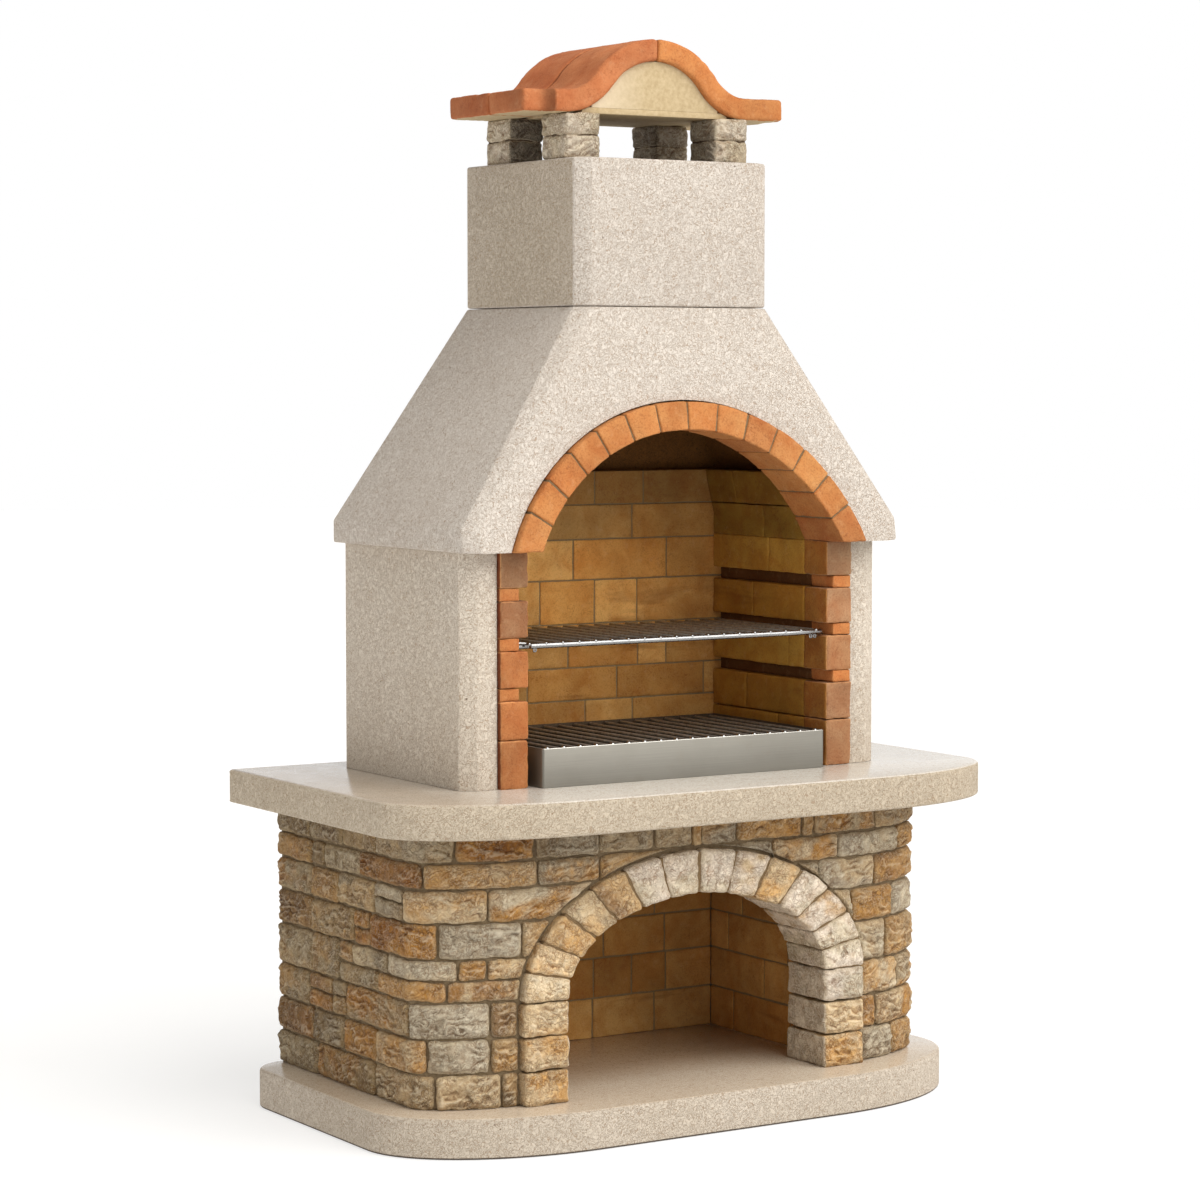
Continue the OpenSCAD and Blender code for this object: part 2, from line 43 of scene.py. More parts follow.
# ------------------------------------------------------------------ dimensions, mm
Z_PL = 79.0
Z_SLAB = 620.0
Z_TOP = 688.0
Z_HOOD = 1148.0
Z_BAND = 1193.0
Z_CHIM = 1620.0
Z_CAP = 1910.0
Z_TILE = 2000.0
BASE_HW, BASE_YF, BASE_YB, BASE_RX, BASE_RY = 601.0, -253.0, 398.0, 310.0, 115.0
NA_Z, NA_AO, NA_BO, NA_AI, NA_BI, NA_N = 280.0, 404.0, 269.0, 305.0, 182.0, 14
BA_Z = 990.0
BA_RI = math.hypot(355, 158)
BA_RO = math.hypot(418, 158)
BA_N = 14


# ------------------------------------------------------------------ noise in numpy
def _hash(ix, iy, iz, seed):
    h = (ix.astype(np.int64) * 374761393 + iy.astype(np.int64) * 668265263
         + iz.astype(np.int64) * 2147483647 + seed * 1274126177) & 0xFFFFFFFF
    h = ((h ^ (h >> 13)) * 1274126177) & 0xFFFFFFFF
    h = ((h ^ (h >> 16)) * 2246822519) & 0xFFFFFFFF
    return ((h ^ (h >> 15)) & 0xFFFFFF) / float(0x1000000)


def vnoise(P, seed=0):
    """Smooth value noise, -1 to 1, of an (n, 3) array."""
    F = np.floor(P)
    f = P - F
    f = f * f * f * (f * (f * 6 - 15) + 10)
    i = F.astype(np.int64)
    out = np.zeros(len(P))
    for dx in (0, 1):
        wx = f[:, 0] if dx else 1 - f[:, 0]
        for dy in (0, 1):
            wy = f[:, 1] if dy else 1 - f[:, 1]
            for dz in (0, 1):
                wz = f[:, 2] if dz else 1 - f[:, 2]
                out += wx * wy * wz * _hash(i[:, 0] + dx, i[:, 1] + dy, i[:, 2] + dz, seed)
    return out * 2 - 1


def fbm(P, octaves=3, seed=0, gain=0.5):
    out = np.zeros(len(P))
    a = 1.0
    for o in range(octaves):
        out += a * vnoise(P * (2.03 ** o) + 11.3 * o, seed + o)
        a *= gain
    return out


def facets(P, seed=0, soft=0.10, tilt=0.9):
    """Chiselled facets: every cell has its own tilted plane, blended over a narrow border."""
    F = np.floor(P).astype(np.int64)
    num = np.zeros(len(P))
    den = np.zeros(len(P))
    best = np.full(len(P), 9e9)
    cand = []
    for dx in (-1, 0, 1):
        for dy in (-1, 0, 1):
            for dz in (-1, 0, 1):
                c = F + np.array([dx, dy, dz])
                j = np.stack([_hash(c[:, 0], c[:, 1], c[:, 2], seed + k) for k in range(3)], 1)
                d = P - (c + j)
                d2 = (d * d).sum(1)
                g = np.stack([_hash(c[:, 0], c[:, 1], c[:, 2], seed + 10 + k) for k in range(3)], 1) * 2 - 1
                o = _hash(c[:, 0], c[:, 1], c[:, 2], seed + 20) * 2 - 1
                cand.append((d2, o * 0.55 + tilt * (g * d).sum(1)))
                best = np.minimum(best, d2)
    for d2, v in cand:
        w = np.exp(-(d2 - best) / soft)
        num += w * v
        den += w
    return num / den


# ------------------------------------------------------------------ block meshes
def axis_points(h, r, res):
    inner = max(h - r, 0.0)
    n = max(1, int(round(2 * inner / res)))
    mid = np.linspace(-inner, inner, n + 1)
    if r <= 0:
        return mid
    arc = np.array([r * math.tan(math.radians(22.5)), r])
    return np.concatenate([-(inner + arc)[::-1], mid, inner + arc])


def rounded_block(size, r, res):
    """Surface grid of a box with rounded edges. Returns points, face normals of the box, quads."""
    h = np.array(size, float) / 2
    r = min(r, h.min() * 0.95)
    ax = [axis_points(h[k], r, res if np.isscalar(res) else res[k]) for k in range(3)]
    n = [len(a) for a in ax]
    idx = -np.ones(n, np.int64)
    m = np.zeros(n, bool)
    m[0], m[-1], m[:, 0], m[:, -1], m[:, :, 0], m[:, :, -1] = (True,) * 6
    idx[m] = np.arange(m.sum())
    I, J, K = np.nonzero(m)
    P = np.stack([ax[0][I], ax[1][J], ax[2][K]], 1)
    q = np.clip(P, -(h - r), h - r)
    d = P - q
    L = np.linalg.norm(d, axis=1)
    L[L == 0] = 1
    N = d / L[:, None]
    P = q + N * r
    quads = []

    def grid(a, flip):
        A = np.stack([a[:-1, :-1], a[1:, :-1], a[1:, 1:], a[:-1, 1:]], -1).reshape(-1, 4)
        quads.append(A[:, ::-1] if flip else A)
    grid(idx[0], True)
    grid(idx[-1], False)
    grid(idx[:, 0], False)
    grid(idx[:, -1], True)
    grid(idx[:, :, 0], True)
    grid(idx[:, :, -1], False)
    return P, N, np.concatenate(quads)


class Builder:
    """Gathers blocks into one mesh, with a colour and a relief value on every point."""

    def __init__(self):
        self.v, self.f, self.c, self.w, self.n = [], [], [], [], 0

    def add(self, P, quads, colour, relief=None):
        self.v.append(P)
        self.f.append(quads + self.n)
        c = np.tile(np.array([*colour, 1.0]), (len(P), 1)) if np.ndim(colour) == 1 else np.hstack([colour, np.ones((len(P), 1))])
        self.c.append(c)
        self.w.append(np.zeros(len(P)) if relief is None else relief)
        self.n += len(P)

    def make(self, name, mat, body, node, smooth=40):
        V = np.concatenate(self.v) * MM
        F = np.concatenate(self.f)
        me = bpy.data.meshes.new(name)
        me.vertices.add(len(V))
        me.vertices.foreach_set("co", V.astype(np.float32).ravel())
        me.loops.add(F.size)
        me.loops.foreach_set("vertex_index", F.astype(np.int32).ravel())
        me.polygons.add(len(F))
        me.polygons.foreach_set("loop_start", np.arange(0, F.size, 4, dtype=np.int32))
        me.update(calc_edges=True)
        me.validate()
        a = me.color_attributes.new("tone", "FLOAT_COLOR", "POINT")
        a.data.foreach_set("color", np.concatenate(self.c).astype(np.float32).ravel())
        b = me.attributes.new("relief", "FLOAT", "POINT")
        b.data.foreach_set("value", np.concatenate(self.w).astype(np.float32))
        return finish_mesh(me, name, mat, body, node, smooth)


def finish_mesh(me, name, mat, body, node, smooth=40):
    me.polygons.foreach_set("use_smooth", [True] * len(me.polygons))
    me.set_sharp_from_angle(angle=math.radians(smooth))
    o = bpy.data.objects.new(name, me)
    bpy.context.scene.collection.objects.link(o)
    for m in (mat if isinstance(mat, (list, tuple)) else [mat]):
        me.materials.append(m)
    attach(o, body)
    if node:
        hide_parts(*([node] if isinstance(node, str) else node))
    return o


def bm_object(bm, name, mat, body, node, smooth=40, tone=(1, 1, 1)):
    me = bpy.data.meshes.new(name)
    bm.normal_update()
    bm.to_mesh(me)
    bm.free()
    a = me.color_attributes.new("tone", "FLOAT_COLOR", "POINT")
    a.data.foreach_set("color", np.tile(np.array([*tone, 1.0], np.float32), len(me.vertices)))
    return finish_mesh(me, name, mat, body, node, smooth)


def prism(outline, z0, z1, bevel_top=0, bevel_bot=0, seg=3, side_bevel=0):
    """Upright prism of a plan outline, mm in, bevelled round its top and bottom edges."""
    bm = bmesh.new()
    lo = [bm.verts.new((x * MM, y * MM, z0 * MM)) for x, y in outline]
    hi = [bm.verts.new((x * MM, y * MM, z1 * MM)) for x, y in outline]
    n = len(outline)
    bm.faces.new(hi)
    bm.faces.new(lo[::-1])
    for i in range(n):
        j = (i + 1) % n
        bm.faces.new((lo[i], lo[j], hi[j], hi[i]))
    bmesh.ops.recalc_face_normals(bm, faces=bm.faces)
    for zz, b in ((z1, bevel_top), (z0, bevel_bot)):
        if b:
            es = [e for e in bm.edges if all(abs(v.co.z - zz * MM) < 1e-6 for v in e.verts) and len(e.link_faces) == 2]
            bmesh.ops.bevel(bm, geom=es, offset=b * MM, segments=seg, profile=0.5, affect="EDGES")
    if side_bevel:
        es = [e for e in bm.edges if len(e.link_faces) == 2 and abs(e.verts[0].co.x - e.verts[1].co.x) < 1e-6
              and abs(e.verts[0].co.y - e.verts[1].co.y) < 1e-6 and e.calc_face_angle() > math.radians(25)]
        bmesh.ops.bevel(bm, geom=es, offset=side_bevel * MM, segments=seg, profile=0.5, affect="EDGES")
    return bm


# ------------------------------------------------------------------ materials
class Nodes:
    def __init__(self, name):
        self.mat = bpy.data.materials.new(name)
        self.mat.use_nodes = True
        self.t = self.mat.node_tree
        self.t.nodes.clear()
        self.out = self.t.nodes.new("ShaderNodeOutputMaterial")
        self.bsdf = self.t.nodes.new("ShaderNodeBsdfPrincipled")
        self.t.links.new(self.bsdf.outputs[0], self.out.inputs[0])
        self.co = self.t.nodes.new("ShaderNodeTexCoord").outputs["Object"]

    def put(self, socket, value):
        if isinstance(value, bpy.types.NodeSocket):
            self.t.links.new(value, socket)
        else:
            socket.default_value = value

    def noise(self, scale, detail=3, rough=0.5, distort=0.0, vec=None, out="Fac"):
        n = self.t.nodes.new("ShaderNodeTexNoise")
        self.put(n.inputs["Vector"], vec or self.co)
        n.inputs["Scale"].default_value = scale
        n.inputs["Detail"].default_value = detail
        n.inputs["Roughness"].default_value = rough
        n.inputs["Distortion"].default_value = distort
        return n.outputs[out]

    def voronoi(self, scale, feature="F1", vec=None, out="Distance", rand=1.0):
        n = self.t.nodes.new("ShaderNodeTexVoronoi")
        n.feature = feature
        self.put(n.inputs["Vector"], vec or self.co)
        n.inputs["Scale"].default_value = scale
        n.inputs["Randomness"].default_value = rand
        return n.outputs[out]

    def wave(self, scale, distort=0.0, vec=None, direction="X"):
        n = self.t.nodes.new("ShaderNodeTexWave")
        n.bands_direction = direction
        self.put(n.inputs["Vector"], vec or self.co)
        n.inputs["Scale"].default_value = scale
        n.inputs["Distortion"].default_value = distort
        return n.outputs["Fac"]

    def stretch(self, sx, sy, sz, rot=(0, 0, 0)):
        n = self.t.nodes.new("ShaderNodeMapping")
        self.put(n.inputs["Vector"], self.co)
        n.inputs["Scale"].default_value = (sx, sy, sz)
        n.inputs["Rotation"].default_value = rot
        return n.outputs[0]

    def ramp(self, fac, *stops, interp="LINEAR"):
        n = self.t.nodes.new("ShaderNodeValToRGB")
        n.color_ramp.interpolation = interp
        e = n.color_ramp.elements
        while len(e) < len(stops):
            e.new(0.5)
        for s, (p, c) in zip(e, stops):
            s.position = p
            s.color = (*c, 1) if isinstance(c, (tuple, list)) else (c, c, c, 1)
        self.put(n.inputs[0], fac)
        return n.outputs[0]

    def mix(self, fac, a, b, mode="MIX"):
        n = self.t.nodes.new("ShaderNodeMix")
        n.data_type = "RGBA"
        n.blend_type = mode
        n.clamp_factor = True
        self.put(n.inputs[0], fac)
        for s, v in ((n.inputs[6], a), (n.inputs[7], b)):
            self.put(s, (*v, 1) if isinstance(v, (tuple, list)) else v)
        return n.outputs[2]

    def math(self, op, a, b=0.0, clamp=False):
        n = self.t.nodes.new("ShaderNodeMath")
        n.operation = op
        n.use_clamp = clamp
        self.put(n.inputs[0], a)
        self.put(n.inputs[1], b)
        return n.outputs[0]

    def axis(self, which):
        n = self.t.nodes.new("ShaderNodeSeparateXYZ")
        self.put(n.inputs[0], self.co)
        return n.outputs[which]

    def attr(self, name, out="Color"):
        n = self.t.nodes.new("ShaderNodeAttribute")
        n.attribute_name = name
        return n.outputs[out]

    def bump(self, height, strength, distance, normal=None):
        n = self.t.nodes.new("ShaderNodeBump")
        n.inputs["Strength"].default_value = strength
        n.inputs["Distance"].default_value = distance
        self.put(n.inputs["Height"], height)
        if normal is not None:
            self.put(n.inputs["Normal"], normal)
        return n.outputs[0]

    def done(self, colour, rough, normal=None, **fixed):
        self.put(self.bsdf.inputs["Base Color"], colour)
        self.put(self.bsdf.inputs["Roughness"], rough)
        if normal is not None:
            self.put(self.bsdf.inputs["Normal"], normal)
        for k, v in fixed.items():
            self.bsdf.inputs[k.replace("_", " ")].default_value = v
        return self.mat


def lin(r, g, b):
    return tuple(((c / 255) / 12.92 if c / 255 <= 0.04045 else ((c / 255 + 0.055) / 1.055) ** 2.4) for c in (r, g, b))


def worms(m, s1, s2, w, gate_scale=0.0):
    """Short curved engraved strokes: masks of where they are sunk, which the callers paint dark as shade, and of where
    their rims stand, which they paint pale as highlight.
    """
    n1 = m.noise(s1, 1.0, 0.5, 1.5)
    n2 = m.noise(s2, 1.0, 0.5, 1.3, vec=m.stretch(1, 1, 1, (0.7, 0.4, 0.2)))
    gate = m.ramp(m.noise(gate_scale, 1.0, 0.5), (0.36, 0.45), (0.54, 1.0)) if gate_scale else None
    line = []
    for off in (0.0, 1.6 * w):
        a = m.ramp(m.math("ABSOLUTE", m.math("SUBTRACT", n1, 0.50 + off)), (0.0, 1.0), (w, 0.0))
        b = m.ramp(m.math("ABSOLUTE", m.math("SUBTRACT", n2, 0.48 + off)), (0.0, 1.0), (w, 0.0))
        k = m.math("MAXIMUM", a, b)
        line.append(m.math("MULTIPLY", k, gate) if gate_scale else k)
    return line


def cast_stone(name, lo, hi, dark, pale, polished=False, niche=False):
    """Cast stone: pale ground with engraved worm strokes, their grooves painted dark (painted shade) and their rims
    pale (painted highlight), and sparse pits.
    """
    m = Nodes(name)
    crease, ridge = worms(m, 92, 122, 0.031)
    base = m.ramp(m.noise(2.4, 4, 0.55), (0.32, lo), (0.70, hi))
    # the grooves of the strokes are painted dark (painted shade) and their rims pale (painted highlight)
    base = m.mix(m.math("MULTIPLY", crease, 0.74), base, dark)
    base = m.mix(m.math("MULTIPLY", ridge, 0.13), base, pale)
    fine = m.noise(420, 2, 0.6)
    base = m.mix(m.ramp(fine, (0.35, 0.20), (0.55, 0.0)), base, dark)
    vo = m.voronoi(26, "F1")
    cell = m.voronoi(26, "F1", out="Color")
    pit = m.math("MULTIPLY", m.ramp(vo, (0.030, 1.0), (0.055, 0.0)), m.ramp(cell, (0.50, 0.0), (0.52, 1.0)))
    base = m.mix(m.math("MULTIPLY", pit, 0.75), base, lin(88, 64, 40))
    if niche:
        # inside the wood store the plinth top is painted browner and darker than at its rim: painted shade under the
        # worktop
        x, y, z = m.axis("X"), m.axis("Y"), m.axis("Z")
        k = m.math("MULTIPLY", m.math("MULTIPLY", m.math("ADD", y, 0.165), 6.0, clamp=True),
                   m.math("MULTIPLY", m.math("SUBTRACT", 0.372, m.math("ABSOLUTE", x)), 60.0, clamp=True))
        k = m.math("MULTIPLY", k, m.math("MULTIPLY", m.math("SUBTRACT", z, 0.0770), 1000.0, clamp=True))
        k = m.math("MULTIPLY", k, m.math("MULTIPLY", m.math("SUBTRACT", 0.100, z), 200.0, clamp=True))
        base = m.mix(m.math("MULTIPLY", k, 0.55), base, m.mix(1.0, base, lin(198, 170, 136), "MULTIPLY"))
        # a thin dark band along the very foot, where the plinth meets the floor: painted contact shadow
        k = m.math("MULTIPLY", m.math("SUBTRACT", 0.0052, z), 500.0, clamp=True)
        base = m.mix(m.math("MULTIPLY", k, 0.92), base, lin(58, 44, 32))
    h = m.math("ADD", m.math("MULTIPLY", crease, -0.8), m.math("MULTIPLY", ridge, 0.5))
    h = m.math("ADD", h, m.math("MULTIPLY", pit, -1.2))
    if polished:
        # the top is painted darker and browner towards its left end than in its middle: painted shade from the left
        # firebox wall
        k = m.math("MULTIPLY", m.math("SUBTRACT", -0.42, m.axis("X")), 6.0, clamp=True)
        k = m.math("MULTIPLY", k, m.math("MULTIPLY", m.math("SUBTRACT", m.axis("Z"), 0.6), 100.0, clamp=True))
        base = m.mix(m.math("MULTIPLY", k, 0.7), base, m.mix(1.0, base, lin(206, 190, 170), "MULTIPLY"))
        rough = m.ramp(m.noise(30, 3, 0.5), (0.3, 0.17), (0.8, 0.27))
        return m.done(base, rough, m.bump(h, 0.05, 0.0005), Coat_Weight=0.4 * polished, Coat_Roughness=0.07,
                      Specular_IOR_Level=0.38)
    rough = m.ramp(fine, (0.3, 0.84), (0.8, 0.95))
    return m.done(base, rough, m.bump(h, 0.75, 0.0010), Specular_IOR_Level=0.25)


def rock(name):
    """Split stone: tones, seams and a relief value come with the mesh; here the relief paints shade into the creases
    and highlights onto the ridges, and the strokes (painted shade in their grooves, painted highlight on their rims),
    the grain and pale patches are added.
    """
    m = Nodes(name)
    tone = m.attr("tone")
    rel = m.attr("relief", "Fac")
    a = m.noise(42, 5, 0.65, 0.8)
    g = m.noise(260, 4, 0.65)
    crease, ridge = worms(m, 60, 80, 0.055, 26)
    c = m.mix(m.ramp(a, (0.34, 0.40), (0.52, 0.0)), tone, m.mix(1.0, tone, lin(196, 170, 138), "MULTIPLY"))
    c = m.mix(m.ramp(a, (0.54, 0.0), (0.74, 0.30)), c, m.mix(0.45, tone, lin(208, 196, 170)))
    # the grooves of the strokes are painted dark (painted shade) and their rims pale (painted highlight)
    c = m.mix(m.math("MULTIPLY", crease, 0.62), c, m.mix(1.0, tone, lin(150, 116, 82), "MULTIPLY"))
    c = m.mix(m.math("MULTIPLY", ridge, 0.46), c, m.mix(0.5, tone, lin(226, 214, 192)))
    c = m.mix(m.ramp(g, (0.30, 0.30), (0.50, 0.0)), c, m.mix(1.0, tone, lin(158, 124, 90), "MULTIPLY"))
    # low relief (creases, down-facing slopes) is painted darker, high relief (ridges, up-facing slopes) paler: painted
    # shade and painted highlight
    c = m.mix(m.ramp(rel, (0.04, 0.64), (0.46, 0.0)), c, m.mix(1.0, tone, lin(130, 96, 62), "MULTIPLY"))
    c = m.mix(m.ramp(rel, (0.56, 0.0), (0.96, 0.50)), c, m.mix(0.50, tone, lin(232, 220, 196)))
    h = m.math("ADD", m.math("MULTIPLY", m.noise(90, 4, 0.6, 0.9), 0.6), m.math("MULTIPLY", g, 0.35))
    h = m.math("ADD", h, m.math("ADD", m.math("MULTIPLY", crease, -0.55), m.math("MULTIPLY", ridge, 0.40)))
    return m.done(c, m.ramp(a, (0.2, 0.80), (0.8, 0.94)), m.bump(h, 0.85, 0.0024), Specular_IOR_Level=0.3)


def brick(name, spots, blot, dark=0.35, grain=260, smear=0.0):
    """Fired clay: the brick's own tone, blotches, fine sand grain, hair cracks and dark fire spots."""
    m = Nodes(name)
    tone = m.attr("tone")
    a = m.noise(19, 4, 0.6, 0.5)
    c = m.mix(m.ramp(a, (0.40, 0.0), (0.75, 0.6)), tone, m.mix(1.0, tone, blot, "MULTIPLY"))
    c = m.mix(m.ramp(m.noise(grain, 3, 0.6), (0.30, dark), (0.52, 0.0)), c, m.mix(1.0, tone, spots, "MULTIPLY"))
    c = m.mix(m.ramp(m.noise(58, 4, 0.7), (0.55, 0.0), (0.80, 0.26)), c, m.mix(0.5, tone, lin(236, 206, 160)))
    n1 = m.noise(74, 1.0, 0.5, 1.5)
    worm = m.ramp(m.math("ABSOLUTE", m.math("SUBTRACT", n1, 0.5)), (0.0, 1.0), (0.030, 0.0))
    worm = m.math("MULTIPLY", worm, m.ramp(m.noise(21, 2, 0.5), (0.45, 0.0), (0.60, 1.0)))
    c = m.mix(m.math("MULTIPLY", worm, 0.38), c, m.mix(1.0, tone, spots, "MULTIPLY"))
    if smear:
        s = m.ramp(m.noise(1.0, 4, 0.6, 0.4, vec=m.stretch(3.4, 3.4, 21)), (0.60, 0.0), (0.74, 1.0))
        c = m.mix(m.math("MULTIPLY", s, smear), c, m.mix(1.0, tone, lin(140, 92, 48), "MULTIPLY"))
    h = m.math("ADD", m.math("MULTIPLY", m.noise(grain, 4, 0.65), 0.6), m.math("MULTIPLY", m.noise(45, 4, 0.6), 0.7))
    h = m.math("ADD", h, m.math("MULTIPLY", worm, -0.5))
    return m.done(c, m.ramp(a, (0.2, 0.82), (0.8, 0.93)), m.bump(h, 0.6, 0.0014), Specular_IOR_Level=0.3)


def plain_grain(name, c0, c1, scale=180, bump=0.6, dist=0.0015):
    m = Nodes(name)
    n = m.noise(scale, 5, 0.65)
    c = m.ramp(n, (0.3, c0), (0.7, c1))
    c = m.mix(m.ramp(m.noise(7, 4, 0.6), (0.4, 0.0), (0.8, 0.4)), c, m.mix(0.5, c, lin(120, 104, 84)))
    return m.done(c, 0.93, m.bump(n, bump, dist), Specular_IOR_Level=0.2)


def gable_skim(name):
    """The cream skim of the gable, painted paler towards its left end: painted light."""
    m = Nodes(name)
    n = m.noise(120, 5, 0.65)
    c = m.ramp(n, (0.3, lin(178, 156, 118)), (0.7, lin(200, 180, 144)))
    c = m.mix(m.ramp(m.noise(7, 4, 0.6), (0.4, 0.0), (0.8, 0.4)), c, m.mix(0.5, c, lin(120, 104, 84)))
    # paler towards the left end: painted light
    k = m.math("MULTIPLY", m.math("SUBTRACT", -0.02, m.axis("X")), 9.0, clamp=True)
    c = m.mix(m.math("MULTIPLY", k, 0.6), c, lin(222, 206, 180))
    return m.done(c, 0.93, m.bump(n, 0.35, 0.001), Specular_IOR_Level=0.2)


def steel(name, c0, c1, rough0, rough1, brushed=True, axis=0, toned=False):
    m = Nodes(name)
    s = [6.0, 900.0, 900.0] if axis == 0 else [900.0, 6.0, 900.0]
    n = m.noise(1.0, 4, 0.7, vec=m.stretch(*s)) if brushed else m.noise(160, 4, 0.6)
    c = m.ramp(n, (0.25, c0), (0.75, c1))
    c = m.mix(m.ramp(m.noise(11, 4, 0.6), (0.42, 0.0), (0.85, 0.35)), c, m.mix(0.5, c, lin(96, 90, 80)))
    c = m.mix(m.ramp(m.noise(34, 5, 0.65), (0.55, 0.0), (0.80, 0.22)), c, m.mix(0.5, c, lin(120, 100, 78)))
    if toned:
        c = m.mix(1.0, c, m.attr("tone"), "MULTIPLY")
    r = m.ramp(n, (0.2, rough0), (0.8, rough1))
    return m.done(c, r, m.bump(n, 0.12, 0.0002), Metallic=1.0)


def wire_black(name):
    """Bar steel blackened by fire: dark scale with worn, slightly shiny patches."""
    m = Nodes(name)
    n = m.noise(140, 4, 0.6)
    c = m.ramp(n, (0.30, lin(112, 110, 106)), (0.72, lin(166, 163, 157)))
    c = m.mix(m.ramp(m.noise(34, 4, 0.65), (0.50, 0.0), (0.75, 0.5)), c, lin(116, 106, 94))
    return m.done(c, m.ramp(n, (0.2, 0.26), (0.8, 0.40)), m.bump(n, 0.25, 0.0003), Metallic=0.5, Specular_IOR_Level=0.6)


MAT = {
    "cast": cast_stone("cast_stone_greige", lin(204, 195, 184), lin(212, 204, 194), lin(146, 117, 88), lin(238, 230, 219)),
    # a darker copy of the cast stone for the chimney's left face: painted shade
    "cast_shade": cast_stone("cast_stone_greige_shaded", lin(190, 178, 160), lin(198, 186, 170), lin(138, 110, 78), lin(222, 210, 194)),
    # a darker copy of the cast stone for the plinth's sides: painted shade
    "cast_low": cast_stone("cast_stone_plinth_shaded", lin(190, 178, 161), lin(199, 188, 173), lin(132, 105, 78), lin(226, 215, 200), niche=True),
    # a lighter, warmer copy of the cast stone for the firebox side walls: painted light against the hood's shadow
    "cast_wall": cast_stone("cast_stone_walls", lin(208, 197, 181), lin(215, 205, 191), lin(148, 118, 88), lin(236, 228, 216)),
    "cast_floor": cast_stone("cast_stone_plinth_top", lin(202, 187, 167), lin(210, 197, 179), lin(156, 130, 102), lin(226, 214, 198), polished=0.5, niche=True),
    # a darker copy of the cast stone for the worktop's edges: painted shade
    "cast_top": cast_stone("cast_stone_worktop", lin(188, 174, 153), lin(196, 184, 165), lin(134, 107, 78), lin(224, 213, 196)),
    "polish": cast_stone("cast_stone_polished", lin(216, 210, 200), lin(224, 219, 210), lin(164, 142, 118), lin(232, 223, 210), polished=0.45),
    "soot": cast_stone("cast_stone_sooty", lin(112, 73, 31), lin(136, 90, 42), lin(70, 44, 19), lin(148, 106, 54)),
    "pan_soot": plain_grain("pan_inside_soot", lin(58, 46, 34), lin(78, 62, 46), 200, 0.5, 0.001),
    "rock": rock("split_stone_cladding"),
    "mortar": plain_grain("mortar_recessed", lin(98, 82, 60), lin(134, 116, 90), 150, 0.9, 0.003),
    "joint": plain_grain("mortar_fine", lin(106, 84, 58), lin(134, 112, 82), 260, 0.5, 0.001),
    "firejoint": plain_grain("firebrick_joint", lin(122, 102, 70), lin(150, 128, 92), 260, 0.5, 0.001),
    "concrete": plain_grain("concrete_rough", lin(140, 133, 121), lin(170, 162, 148), 90, 0.9, 0.003),
    "brick": brick("terracotta_brick", lin(156, 96, 60), lin(222, 170, 128)),
    "fire": brick("firebrick_tan", lin(160, 112, 62), lin(214, 172, 112), 0.30, 300, 0.5),
    "tile": brick("roof_terracotta", lin(170, 104, 70), lin(222, 172, 136), 0.25, 240),
    "gable": gable_skim("cap_gable_cream"),
    "infill": plain_grain("cap_infill_cream", lin(178, 156, 118), lin(200, 180, 144), 120, 0.35, 0.001),
    "pan": steel("pan_brushed_steel", lin(125, 122, 115), lin(142, 139, 131), 0.50, 0.62),
    "rim": steel("pan_rim_steel", lin(176, 174, 168), lin(204, 202, 196), 0.22, 0.34),
    "grill": steel("grill_plated_wire", lin(196, 196, 196), lin(226, 226, 226), 0.20, 0.34, False, toned=True),
    "wire": wire_black("wire_blackened"),
}

rng = np.random.default_rng(20260721)


# ------------------------------------------------------------------ outlines
def slab_outline(hw, yf, yb, rx, ry, rb, n=40):
    P = []
    if rb:
        P += [(-hw + rb - rb * math.sin(t), yb - rb + rb * math.cos(t)) for t in np.linspace(0, pi / 2, 10)]
    else:
        P += [(-hw, yb)]
    P += [(-hw + rx - rx * math.cos(t), yf + ry - ry * math.sin(t)) for t in np.linspace(0, pi / 2, n)]
    P += [(hw - rx + rx * math.cos(t), yf + ry - ry * math.sin(t)) for t in np.linspace(pi / 2, 0, n)]
    if rb:
        P += [(hw - rb + rb * math.sin(t), yb - rb + rb * math.cos(t)) for t in np.linspace(pi / 2, 0, 10)]
    else:
        P += [(hw, yb)]
    out = []
    for p in P:
        if not out or math.dist(p, out[-1]) > 0.5:
            out.append(p)
    return out


# the outline of the stone wall by true length, rear left to rear right
_w = [(-BASE_HW, y) for y in np.linspace(BASE_YB, BASE_YF + BASE_RY, 60)]
_w += [(-BASE_HW + BASE_RX * (1 - math.cos(t)), BASE_YF + BASE_RY * (1 - math.sin(t))) for t in np.linspace(0, pi / 2, 160)[1:]]
_w += [(x, BASE_YF) for x in np.linspace(-BASE_HW + BASE_RX, 0, 40)[1:]]
_w += [(-x, y) for x, y in _w[-2::-1]]
WALL = np.array(_w)
_seg = np.diff(WALL, axis=0)
WALL_S = np.concatenate([[0], np.cumsum(np.linalg.norm(_seg, axis=1))])
WALL_L = WALL_S[-1]
_nrm = np.stack([_seg[:, 1], -_seg[:, 0]], 1)
_nrm /= np.linalg.norm(_nrm, axis=1)[:, None]
_vn = np.vstack([_nrm[:1], (_nrm[:-1] + _nrm[1:]) / 2, _nrm[-1:]])
_k = np.ones(9) / 9
for _c in (0, 1):
    _p = np.pad(_vn[:, _c], 4, mode="edge")
    _vn[:, _c] = np.convolve(_p, _k, mode="valid")
_vn /= np.linalg.norm(_vn, axis=1)[:, None]


